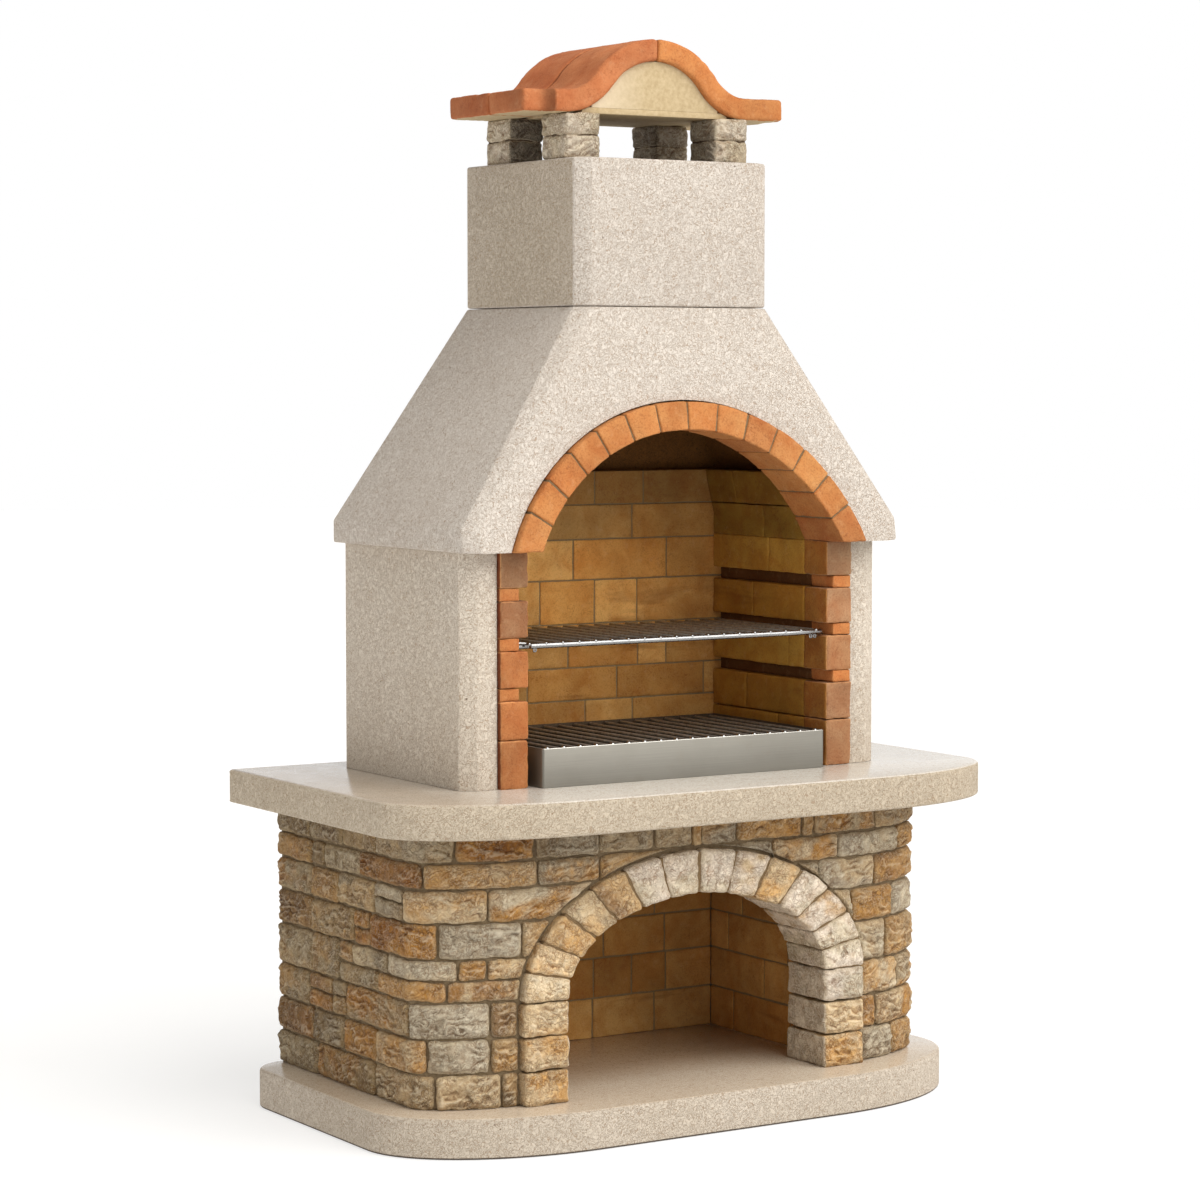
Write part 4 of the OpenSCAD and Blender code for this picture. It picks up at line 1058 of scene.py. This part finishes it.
ARCHT = [(189, 129, 74), (183, 121, 68), (193, 135, 78), (187, 125, 70), (180, 119, 68), (191, 131, 76)]
B = Builder()
for i in range(BA_N):
    g = 0.0042
    i0, i1 = (ti if i == 0 else ba_joint(i) + g), (pi - ti if i == BA_N - 1 else ba_joint(i + 1) - g)
    o0, o1 = (to if i == 0 else ba_joint(i) + g), (pi - to if i == BA_N - 1 else ba_joint(i + 1) - g)
    L = (i1 - i0) * (BA_RI + BA_RO) / 2
    R = BA_RO - BA_RI

    def warp(P, i0=i0, i1=i1, o0=o0, o1=o1, L=L, R=R):
        u = P[:, 0] / L + 0.5
        r = (P[:, 1] / R + 0.5) * 0.958
        t = (i0 + (i1 - i0) * u) * (1 - r) + (o0 + (o1 - o0) * u) * r
        rad = BA_RI + R * r
        x, z = rad * np.cos(t), BA_Z + rad * np.sin(t)
        yf = hood_face(z) - 15
        w = P[:, 2] / 120 + 0.5
        return np.stack([x, -112 + (yf + 112) * w, z], 1)
    brick_block(B, (L, R, 120), (0, 0, 0), lin(*ARCHT[int(rng.integers(0, 6))]), 40 + i * 3, 3.2, 7, 0.8, warp)
for arr in B.f:
    arr[:] = arr[:, ::-1]
B.make("brick_arch_clay", MAT["brick"], "masonry", "brick_arch")
B = Builder()
T = np.linspace(ti + 0.03, pi - ti - 0.03, 61)
pts = []
for t in T:
    for rad, back in ((BA_RI + 2.5, 0), (BA_RO - 5, 0), (BA_RO - 5, 1), (BA_RI + 2.5, 1)):
        x, z = rad * math.cos(t), BA_Z + rad * math.sin(t)
        pts.append((x, -116 if back else hood_face(z) - 11.5, z))
n = len(T)
Q = [(i * 4 + j, i * 4 + (j + 1) % 4, (i + 1) * 4 + (j + 1) % 4, (i + 1) * 4 + j) for i in range(n - 1) for j in range(4)]
Q.append((0, 3, 2, 1))
Q.append(tuple((n - 1) * 4 + k for k in (0, 1, 2, 3)))
B.add(np.array(pts), np.array(Q)[:, ::-1], (1, 1, 1))
B.make("brick_arch_joints", MAT["joint"], "masonry", "brick_arch_mortar")


# ------------------------------------------------------------------ firebox walls, hood, chimney
for s, nm in ((-1, "left"), (1, "right")):
    out = [(s * 418, -182), (s * (494 - 31), -182), (s * 494, -162), (s * 494, 300), (s * 418, 300)]
    if s < 0:
        out = out[::-1]
    bm = prism(out[::-1] if s < 0 else out, Z_TOP, Z_HOOD, 2, 2, seg=2, side_bevel=4)
    # the side walls take the lighter copy of the cast stone: painted light
    bm_object(bm, f"firebox_wall_{nm}_cast", MAT["cast_wall"], "masonry", f"firebox_wall_{nm}", 30)
bm = prism([(-418, 251), (418, 251), (418, 300), (-418, 300)], Z_TOP, Z_HOOD, 1, 1, seg=1)
bm_object(bm, "firebox_wall_rear_cast", MAT["cast"], "masonry", "firebox_wall_rear", 30)


def V(bm, x, y, z):
    return bm.verts.new((x * MM, y * MM, z * MM))


def ring(hw, yf, yb, z):
    return [(-hw, yb, z), (-hw, yf + 20, z), (-hw + 31, yf, z), (hw - 31, yf, z), (hw, yf + 20, z), (hw, yb, z)]


bm = bmesh.new()
r0 = [V(bm, *p) for p in ring(515, -235, 311, Z_HOOD)]
r1 = [V(bm, *p) for p in ring(515, hood_face(Z_BAND), 311, Z_BAND)]
r2 = [V(bm, *p) for p in ring(228, -170.6, 263.5, Z_CHIM)]
ro = BA_RO + 0.5
t0 = math.asin(158 / ro)
na = 64
arc_f, arc_b = [], []
for t in np.linspace(pi - t0, t0, na):
    x, z = ro * math.cos(t), BA_Z + ro * math.sin(t)
    arc_f.append(V(bm, x, hood_face(z), z))
    arc_b.append(V(bm, x, -148 + 30 * (z - Z_HOOD) / 472, z))
F = bm.faces.new
# front face in one piece with the arch cut out of it, chamfers, sides with their band, rear
F([r0[2]] + arc_f + [r0[3], r1[3], r2[3], r2[2], r1[2]])
for i in (0, 1, 3, 4):
    F((r0[i], r0[i + 1], r1[i + 1], r1[i]))
    F((r1[i], r1[i + 1], r2[i + 1], r2[i]))
F((r0[5], r0[0], r1[0], r1[5]))
F((r1[5], r1[0], r2[0], r2[5]))
for i in range(na - 1):
    F((arc_f[i], arc_b[i], arc_b[i + 1], arc_f[i + 1]))
q0 = [V(bm, *p) for p in ((-445, 262, Z_HOOD), (-445, -150, Z_HOOD), (445, -150, Z_HOOD), (445, 262, Z_HOOD))]
q1 = [V(bm, *p) for p in ((-445, 262, Z_BAND), (-445, -146, Z_BAND), (445, -146, Z_BAND), (445, 262, Z_BAND))]
q2 = [V(bm, *p) for p in ((-178, 213.5, Z_CHIM), (-178, -120.6, Z_CHIM), (178, -120.6, Z_CHIM), (178, 213.5, Z_CHIM))]
# underside: left foot, right foot and rear, between the outer and the inner edges
F((r0[0], q0[0], q0[1], arc_b[0], arc_f[0], r0[2], r0[1]))
F((r0[5], r0[4], r0[3], arc_f[-1], arc_b[-1], q0[2], q0[3]))
F((r0[0], r0[5], q0[3], q0[0]))
inner = []
for a, b in ((q0, q1), (q1, q2)):
    for i in (0, 2, 3):
        inner.append(F((a[(i + 1) % 4], a[i], b[i], b[(i + 1) % 4])))
inner.append(F([q0[1], q1[1], q2[1], q2[2], q1[2], q0[2]] + arc_b[::-1]))
F((r2[2], r2[3], q2[2], q2[1]))
F((r2[0], r2[1], r2[2], q2[1], q2[0]))
F((r2[5], r2[0], q2[0], q2[3]))
F((r2[3], r2[4], r2[5], q2[3], q2[2]))
bmesh.ops.recalc_face_normals(bm, faces=bm.faces)
for f in inner:
    f.material_index = 1
outer = set(r0 + r1 + r2)
es = [e for e in bm.edges if len(e.link_faces) == 2 and e.verts[0] in outer and e.verts[1] in outer
      and e.calc_face_angle() > math.radians(9)]
bmesh.ops.bevel(bm, geom=es, offset=4.5 * MM, segments=3, profile=0.5, affect="EDGES")
bm_object(bm, "hood_cast", [MAT["cast"], MAT["soot"]], "masonry", "hood", 30)

bm = bmesh.new()
a0 = [V(bm, *p) for p in ring(228, -170.6, 263.5, Z_CHIM + 1.2)]
a1 = [V(bm, *p) for p in ring(228, -170.6, 263.5, Z_CAP)]
b0 = [V(bm, *p) for p in ((-178, 213.5, Z_CHIM + 1.2), (-178, -120.6, Z_CHIM + 1.2), (178, -120.6, Z_CHIM + 1.2), (178, 213.5, Z_CHIM + 1.2))]
b1 = [V(bm, *p) for p in ((-178, 213.5, Z_CAP), (-178, -120.6, Z_CAP), (178, -120.6, Z_CAP), (178, 213.5, Z_CAP))]
F = bm.faces.new
for i in range(6):
    F((a0[i], a0[(i + 1) % 6], a1[(i + 1) % 6], a1[i]))
inner = [F((b0[(i + 1) % 4], b0[i], b1[i], b1[(i + 1) % 4])) for i in range(4)]
for a, b in ((a0, b0), (a1, b1)):
    F((a[2], a[3], b[2], b[1]))
    F((a[0], a[1], a[2], b[1], b[0]))
    F((a[5], a[0], b[0], b[3]))
    F((a[3], a[4], a[5], b[3], b[2]))
bmesh.ops.recalc_face_normals(bm, faces=bm.faces)
for f in inner:
    f.material_index = 1
es = [e for e in bm.edges if len(e.link_faces) == 2 and e.verts[0] in set(a0 + a1) and e.verts[1] in set(a0 + a1)
      and e.calc_face_angle() > math.radians(9)]
bmesh.ops.bevel(bm, geom=es, offset=5 * MM, segments=3, profile=0.5, affect="EDGES")
o = bm_object(bm, "chimney_block_cast", [MAT["cast"], MAT["soot"], MAT["cast_shade"]], "masonry", "chimney_block", 30)
# the left face of the chimney takes the darker copy of the cast stone: painted shade
for p in o.data.polygons:
    if p.normal.x < -0.9 and p.material_index == 0:
        p.material_index = 2

# ------------------------------------------------------------------ cap
PILT = ["pg lg", "pg g", "lg pg"]
for xs, xn in ((-1, "left"), (1, "right")):
    for y0, yn in ((-106, "front"), (111, "rear")):
        B = Builder()
        for k, (za, zb) in enumerate(((Z_CAP, Z_CAP + 46.2), (Z_CAP + 47.4, Z_TILE))):
            def warp(P, za=za, zb=zb, y0=y0, xs=xs):
                return np.stack([xs * 176 + P[:, 0], y0 + 47 + P[:, 2], (za + zb) / 2 + P[:, 1]], 1)
            # the pillars' faces turned in under the cap are painted darker: painted shade
            rock_block(B, (80, zb - za, 94), tones(PILT[(k + (xs > 0) + (y0 > 0)) % 3], 1.06), warp,
                       700 + k * 5 + (xs > 0) * 11 + (y0 > 0) * 23, edge=5, amp=3.2, res=2.4, faces=(0, -1, 2, -3), spacing=17,
                       painted_face_shade=((2, -1, 1.0 if y0 < 0 else 0.36 if xs < 0 else 0.70), (0, -xs, 0.72 if y0 < 0 else 0.55),
                            (2, 1, 0.5 if y0 < 0 else 1.0)))
        for arr in B.f:
            arr[:] = arr[:, ::-1]
        # a thin bed of mortar between the two stones
        P, N, Q = rounded_block((72, 86, 6), 1, 30)
        B.add(P + np.array([xs * 176, y0 + 47, Z_CAP + 47]), Q, lin(120, 106, 86))
        B.make(f"cap_pillar_{yn}_{xn}_rock", MAT["rock"], "masonry", f"cap_pillar_{yn}_{xn}", 60)

R1, R2, HTH, HHW, RISE, TT = 175.0, 93.0, math.radians(53.35), 215.0, 108.0, 44.0
HZC = Z_TILE + TT + RISE - R1


def tile_line(d, n1=14, n2=18, x_end=302.0):
    P = [(x_end, Z_TILE + TT - d), ((x_end + HHW) / 2, Z_TILE + TT - d)]
    P += [(HHW - (R2 + d) * math.sin(a), Z_TILE + TT + R2 - (R2 + d) * math.cos(a)) for a in np.linspace(0, HTH, n1)]
    P += [((R1 - d) * math.sin(a), HZC + (R1 - d) * math.cos(a)) for a in np.linspace(HTH, 0, n2)[1:]]
    return P


TILE_TONE = {"front_left": (188, 118, 74), "rear_left": (186, 113, 70), "front_right": (190, 124, 70), "rear_right": (184, 114, 66)}
for s, xn in ((-1, "left"), (1, "right")):
    for y0, y1, yn in ((-106, 49.2, "front"), (49.8, 205, "rear")):
        B = Builder()
        top, bot = np.array(tile_line(0)), np.array(tile_line(TT))
        dl = np.concatenate([[0], np.cumsum(np.linalg.norm(np.diff((top + bot) / 2, axis=0), axis=1))])
        tot = dl[-1]

        def warp(P, top=top, bot=bot, dl=dl, tot=tot, s=s, y0=y0, y1=y1, yn=yn):
            u = P[:, 0] + tot / 2
            r = P[:, 2] / TT + 0.5
            xt, zt = np.interp(u, dl, top[:, 0]), np.interp(u, dl, top[:, 1])
            xb, zb = np.interp(u, dl, bot[:, 0]), np.interp(u, dl, bot[:, 1])
            x = xb + (xt - xb) * r
            z = zb + (zt - zb) * r
            over = np.clip(u - tot, 0, None)
            x, y = s * (x - over), (y0 + y1) / 2 + P[:, 1]
            if s < 0 and yn == "front":
                # the scooped corner of the front left eave: level at first, then curling out to a sharp edge
                t = np.clip((x + 284) / 44, 0, 1)
                y = y + 21.0 * np.sqrt(1 - t * t) * smooth(44, 0, y - y0)
            return np.stack([x, y, z], 1)

        def shade(P, mid=(top + bot)[:, 0] / 2, dl=dl, tot=tot, s=s, hy=(y1 - y0) / 2, yn=yn):
            # the top of the left tiles is painted a little lighter: painted light
            k = 1.0 + (0.07 if s < 0 else 0.0) * smooth(TT / 2 - 3, TT / 2 - 0.5, P[:, 2])
            # the inner part of the scoop on the front left eave is painted darker: painted shade
            if s < 0 and yn == "front":
                t = (284 - np.interp(P[:, 0] + tot / 2, dl, mid)) / 44
                k = k * (1 - 0.46 * smooth(0.30, 0.86, t) * (t < 1.0) * smooth(16 - hy, 4 - hy, P[:, 1]))
            # the joint between the front and the rear tile is painted dark on the hump, fading towards the eaves:
            # painted shade
            k = k * (1 - 0.55 * smooth(hy - 4.5, hy - 1.5, P[:, 1] * (1 if yn == "front" else -1))
                     * smooth(-0.28 * tot, 0.05 * tot, P[:, 0]))
            # the eave end face of the left tiles is painted darker: painted shade
            if s < 0:
                k = k * (1 - 0.20 * smooth(6 - tot / 2, 2 - tot / 2, P[:, 0]))
            return k
        brick_block(B, (tot - 0.6, y1 - y0, TT), (0, 0, 0), lin(*TILE_TONE[f"{yn}_{xn}"]), 81 + (s > 0) * 7 + (yn == "rear") * 3, 7, (3.2, 8, 8), 0.7, warp,
                    shade=shade)
        if s > 0:
            for arr in B.f:
                arr[:] = arr[:, ::-1]
        o = B.make(f"cap_tile_{yn}_{xn}_clay", [MAT["tile"], MAT["infill"]], "masonry", f"cap_tile_{yn}_{xn}", 24)
        # the flat underside is skimmed with the cream infill
        for p in o.data.polygons:
            if p.normal.z < -0.9 and p.center.z < (Z_TILE + 3) * MM:
                p.material_index = 1

bm = bmesh.new()
prof = [(-172, Z_TILE), (172, Z_TILE), (172, Z_TILE + 5.5), (157.5, Z_TILE + 12), (-157.5, Z_TILE + 12), (-172, Z_TILE + 5.5)]
fr = [bm.verts.new((x * MM, -94 * MM, z * MM)) for x, z in prof]
bk = [bm.verts.new((x * MM, 193 * MM, z * MM)) for x, z in prof]
bm.faces.new(fr)
bm.faces.new(bk[::-1])
for i in range(6):
    bm.faces.new((fr[i], fr[(i + 1) % 6], bk[(i + 1) % 6], bk[i]))
bmesh.ops.recalc_face_normals(bm, faces=bm.faces)
bmesh.ops.bevel(bm, geom=[e for e in bm.edges if e.calc_face_angle() > 0.5], offset=1.2 * MM, segments=2, profile=0.5, affect="EDGES")
bm_object(bm, "cap_base_slab_cream", MAT["infill"], "masonry", "cap_base_slab", 30)
for ya, yb, nm in ((-94, -66, "front"), (165, 193, "rear")):
    u = [p for p in tile_line(TT + 0.3) if p[1] > Z_TILE + 12.5]
    pts2 = [(u[0][0], Z_TILE + 12)] + u + [(-x, z) for x, z in u[-2::-1]] + [(-u[0][0], Z_TILE + 12)]
    bm = bmesh.new()
    fr = [V(bm, x, ya, z) for x, z in pts2]
    bk = [V(bm, x, yb, z) for x, z in pts2]
    bm.faces.new(fr)
    bm.faces.new(bk[::-1])
    for i in range(len(pts2)):
        j = (i + 1) % len(pts2)
        bm.faces.new((fr[i], fr[j], bk[j], bk[i]))
    bmesh.ops.recalc_face_normals(bm, faces=bm.faces)
    bm_object(bm, f"cap_gable_{nm}_cream", MAT["gable"], "masonry", f"cap_gable_{nm}", 30)


# ------------------------------------------------------------------ fire set
def tube(B, pts, r, n=16, colour=(1, 1, 1), cap=True):
    pts = np.array(pts, float)
    d = np.gradient(pts, axis=0)
    d /= np.linalg.norm(d, axis=1)[:, None]
    ref = np.array([0, 0, 1.0]) if abs(d[0, 2]) < 0.9 else np.array([1.0, 0, 0])
    rings, prev = [], None
    for p, t in zip(pts, d):
        a = np.cross(t, ref if prev is None else prev)
        if prev is None:
            a /= np.linalg.norm(a)
            b = np.cross(a, t)
        else:
            b = prev - t * (prev @ t)
            b /= np.linalg.norm(b)
            a = np.cross(t, b)
        prev = b
        rings.append((p, a, b))
    ang = np.linspace(0, 2 * pi, n, endpoint=False)
    V_, F_ = [], []
    prof = [(1.0, 0.0)] * len(rings)
    P_all = []
    for (p, a, b) in rings:
        P_all.append(p + r * (np.cos(ang)[:, None] * a + np.sin(ang)[:, None] * b))
    if cap:
        # rounded ends: two shrinking rings and a small closing ring
        (p, a, b), (p2, a2, b2) = rings[0], rings[-1]
        t0, t1 = d[0], d[-1]
        head = [p - t0 * r * math.sin(x) * 0.5 + r * math.cos(x) * (np.cos(ang)[:, None] * a + np.sin(ang)[:, None] * b) for x in (1.5, 1.0, 0.5)]
        tail = [p2 + t1 * r * math.sin(x) * 0.5 + r * math.cos(x) * (np.cos(ang)[:, None] * a2 + np.sin(ang)[:, None] * b2) for x in (0.5, 1.0, 1.5)]
        P_all = head + P_all + tail
    m = len(P_all)
    Vv = np.concatenate(P_all)
    Q = [(i * n + k, i * n + (k + 1) % n, (i + 1) * n + (k + 1) % n, (i + 1) * n + k) for i in range(m - 1) for k in range(n)]
    # close the ends with quads across the smallest ring
    for base, flip in ((0, True), ((m - 1) * n, False)):
        for k in range(n // 2 - 1):
            q = (base + k, base + k + 1, base + n - 2 - k, base + n - 1 - k)
            Q.append(q[::-1] if flip else q)
    B.add(Vv, np.array(Q), colour)


B = Builder()
ghw = 342.0
gz = 959.3
for i in range(19):
    x = -ghw + 2 * ghw * i / 18
    tube(B, [(x, -166 + 358 * t, gz + 6) for t in np.linspace(0, 1, 5)], 3.3, 12)
tube(B, [(-367 + 734 * t, 170, gz) for t in np.linspace(0, 1, 9)], 4.0, 14)
B.make("grill_grate_bars", MAT["wire"], "grill", "grill_grate", 50)
B = Builder()
# the front ends of the bars are short pieces of the pale plated steel, brighter than the blackened bars: painted
# highlight
for i in range(19):
    x = -ghw + 2 * ghw * i / 18
    tube(B, [(x, -174 + 8 * t, gz + 6.4) for t in np.linspace(0, 1, 3)], 3.0, 12, (0.62, 0.62, 0.62))
tube(B, [(-367 + 734 * t, -150, gz) for t in np.linspace(0, 1, 9)], 4.0, 14, (0.45, 0.45, 0.45))
tube(B, [(-337 + 693 * t, -170, gz + 2.5) for t in np.linspace(0, 1, 9)], 5.4, 18, (0.50, 0.50, 0.50))
# the frame's return wire and the bent feet under its ends
tube(B, [(-366 + 34 * t, -160 - 6 * t * t, gz + 8.5 - 3 * t * t) for t in np.linspace(0, 1, 7)], 2.3, 12, (0.62, 0.62, 0.62))
for x in (-328, 331, 341):
    tube(B, [(x + 2.8 * math.sin(a), -170, gz - 5.5 - 4 * math.cos(a)) for a in np.linspace(0.5, 2 * pi - 0.5, 12)], 1.7, 10, (0.62, 0.62, 0.62))
B.make("grill_grate_frame", MAT["grill"], "grill", None, 50)

B = Builder()
ehw, ez = 325.5, 759.0
for i in range(18):
    x = -ehw + 6 + (2 * ehw - 12) * i / 17
    tube(B, [(x, -200 + 380 * t, ez) for t in np.linspace(0, 1, 5)], 4.0, 12)
for y in (-182, -12, 158):
    tube(B, [(-ehw + 2 * ehw * t, y, ez - 7) for t in np.linspace(0, 1, 7)], 4.0, 12)
B.make("ember_grate_bars", MAT["wire"], "ember_rack", "ember_grate", 50)
B = Builder()
for i in range(18):
    # a weld bead closes the front end of every bar; the beads are of the pale plated steel so they show as bright dots:
    # painted highlight
    x = -ehw + 6 + (2 * ehw - 12) * i / 17
    tube(B, [(x, -203.5 + 6 * t, ez + 4.0) for t in np.linspace(0, 1, 3)], 4.2, 12, (0.62, 0.62, 0.62))
B.make("ember_grate_beads", MAT["grill"], "ember_rack", None, 50)
B = Builder()
for x in (-313.5, 313.5):
    for y in (-182, 158):
        tube(B, [(x, y, 691.6 + 56.2 * t) for t in np.linspace(0, 1, 4)], 4.0, 12)
B.make("ember_legs_bars", MAT["wire"], "ember_rack", "ember_legs", 50)

# pan: folded sheet with a hemmed rim
bm = bmesh.new()


def loop_rect(x0, x1, y0, y1, z, r, n=5):
    P = []
    for cx, cy, a in ((x0 + r, y0 + r, 180), (x1 - r, y0 + r, 270), (x1 - r, y1 - r, 0), (x0 + r, y1 - r, 90)):
        for k in range(n):
            t = math.radians(a + 90 * k / (n - 1))
            P.append((cx + r * math.cos(t), cy + r * math.sin(t), z))
    return P


X, Y0, Y1 = 335.5, -212.0, 188.0
levels = [(0, 689.9, 4), (0, 688.5, 5), (0, 690, 5), (0, 764.2, 5), (-0.4, 764.9, 5), (-1.4, 765, 4.5), (-2.6, 764.9, 3.5), (-3, 764.2, 3), (-3, 694, 3), (-5, 691.8, 2.5)]
rings_ = []
for off, z, r in levels[1:]:
    rings_.append([V(bm, *p) for p in loop_rect(-X - off, X + off, Y0 - off, Y1 + off, z, r)])
n = len(rings_[0])
for a, b in zip(rings_[:-1], rings_[1:]):
    for i in range(n):
        bm.faces.new((a[i], a[(i + 1) % n], b[(i + 1) % n], b[i]))
bm.faces.new(rings_[0][::-1])
bm.faces.new(rings_[-1])
bmesh.ops.recalc_face_normals(bm, faces=bm.faces)
o = bm_object(bm, "charcoal_pan_sheet", [MAT["pan"], MAT["rim"], MAT["pan_soot"]], "pan", "charcoal_pan", 30)
for p in o.data.polygons:
    if p.center.z > 0.7638 and p.center.y < -0.205:
        p.material_index = 1
    elif p.center.z > 0.6915 and (p.center.z > 0.7638 or (abs(p.center.x) < 0.3329 and -0.2094 < p.center.y < 0.1854)):
        p.material_index = 2

# the hidden concrete walls keep their CAD shape and get a rough finish
for nme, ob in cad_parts.items():
    if ob.hide_render:
        continue
    ob.data.materials.clear()
    ob.data.materials.append(MAT["concrete"])

# ------------------------------------------------------------------ stage, light, camera
bpy.ops.mesh.primitive_circle_add(vertices=96, radius=30, fill_type="NGON", location=(0, 0, -0.0005))
floor = bpy.context.object
floor.name = "floor"
fm = Nodes("floor_pale")
floor.data.materials.append(fm.done(fm.ramp(fm.noise(2, 2, 0.5), (0.3, (0.40, 0.40, 0.40)), (0.7, (0.42, 0.42, 0.42))), 0.9, Specular_IOR_Level=0.0,
                                    Emission_Color=(1.0, 0.995, 0.985, 1.0), Emission_Strength=0.62))

# the sky: white where it meets the floor, softer and warmer overhead
world = bpy.data.worlds.new("studio")
bpy.context.scene.world = world
world.use_nodes = True
wt = world.node_tree
sep = wt.nodes.new("ShaderNodeSeparateXYZ")
wt.links.new(wt.nodes.new("ShaderNodeTexCoord").outputs["Generated"], sep.inputs[0])
wr = wt.nodes.new("ShaderNodeValToRGB")
wr.color_ramp.elements[0].position = 0.12
wr.color_ramp.elements[0].color = (1.0, 1.0, 1.0, 1)
wr.color_ramp.elements[1].position = 0.32
wr.color_ramp.elements[1].color = (0.46, 0.445, 0.425, 1)
wt.links.new(sep.outputs["Z"], wr.inputs[0])
wt.links.new(wr.outputs[0], wt.nodes["Background"].inputs[0])
wt.nodes["Background"].inputs[1].default_value = 1.0

sun = bpy.data.lights.new("key", "SUN")
sun.energy = 3.3
sun.angle = math.radians(64)
sun.color = (1.0, 0.985, 0.955)
so = bpy.data.objects.new("key", sun)
bpy.context.scene.collection.objects.link(so)
so.rotation_euler = Vector((math.sin(math.radians(24)) * math.cos(math.radians(44)), -math.cos(math.radians(24)) * math.cos(math.radians(44)),
                            math.sin(math.radians(44)))).to_track_quat("Z", "Y").to_euler()

# a weak soft fill low on the left, out of the picture
fill = bpy.data.lights.new("fill", "AREA")
fill.shape = "DISK"
fill.size = 1.3
fill.energy = 4.5
fill.color = (1.0, 0.97, 0.92)
fo = bpy.data.objects.new("fill", fill)
bpy.context.scene.collection.objects.link(fo)
fo.location = (-2.3, -0.2, 0.55)
fo.rotation_euler = (Vector(fo.location) - Vector((-0.45, 0.05, 1.0))).to_track_quat("Z", "Y").to_euler()

cam_data = bpy.data.cameras.new("camera")
cam = bpy.data.objects.new("camera", cam_data)
bpy.context.scene.collection.objects.link(cam)
cam.location = (-3.72125, -5.78878, 1.49347)
cam.rotation_euler = (math.radians(90 - 3.8552), 0, math.radians(-32.2349))
cam_data.sensor_width = 36
cam_data.lens = 101.762
cam_data.clip_end = 100
bpy.context.scene.camera = cam
sc = bpy.context.scene
sc.view_settings.view_transform = "Standard"
sc.view_settings.look = "None"
sc.view_settings.exposure = 0.0
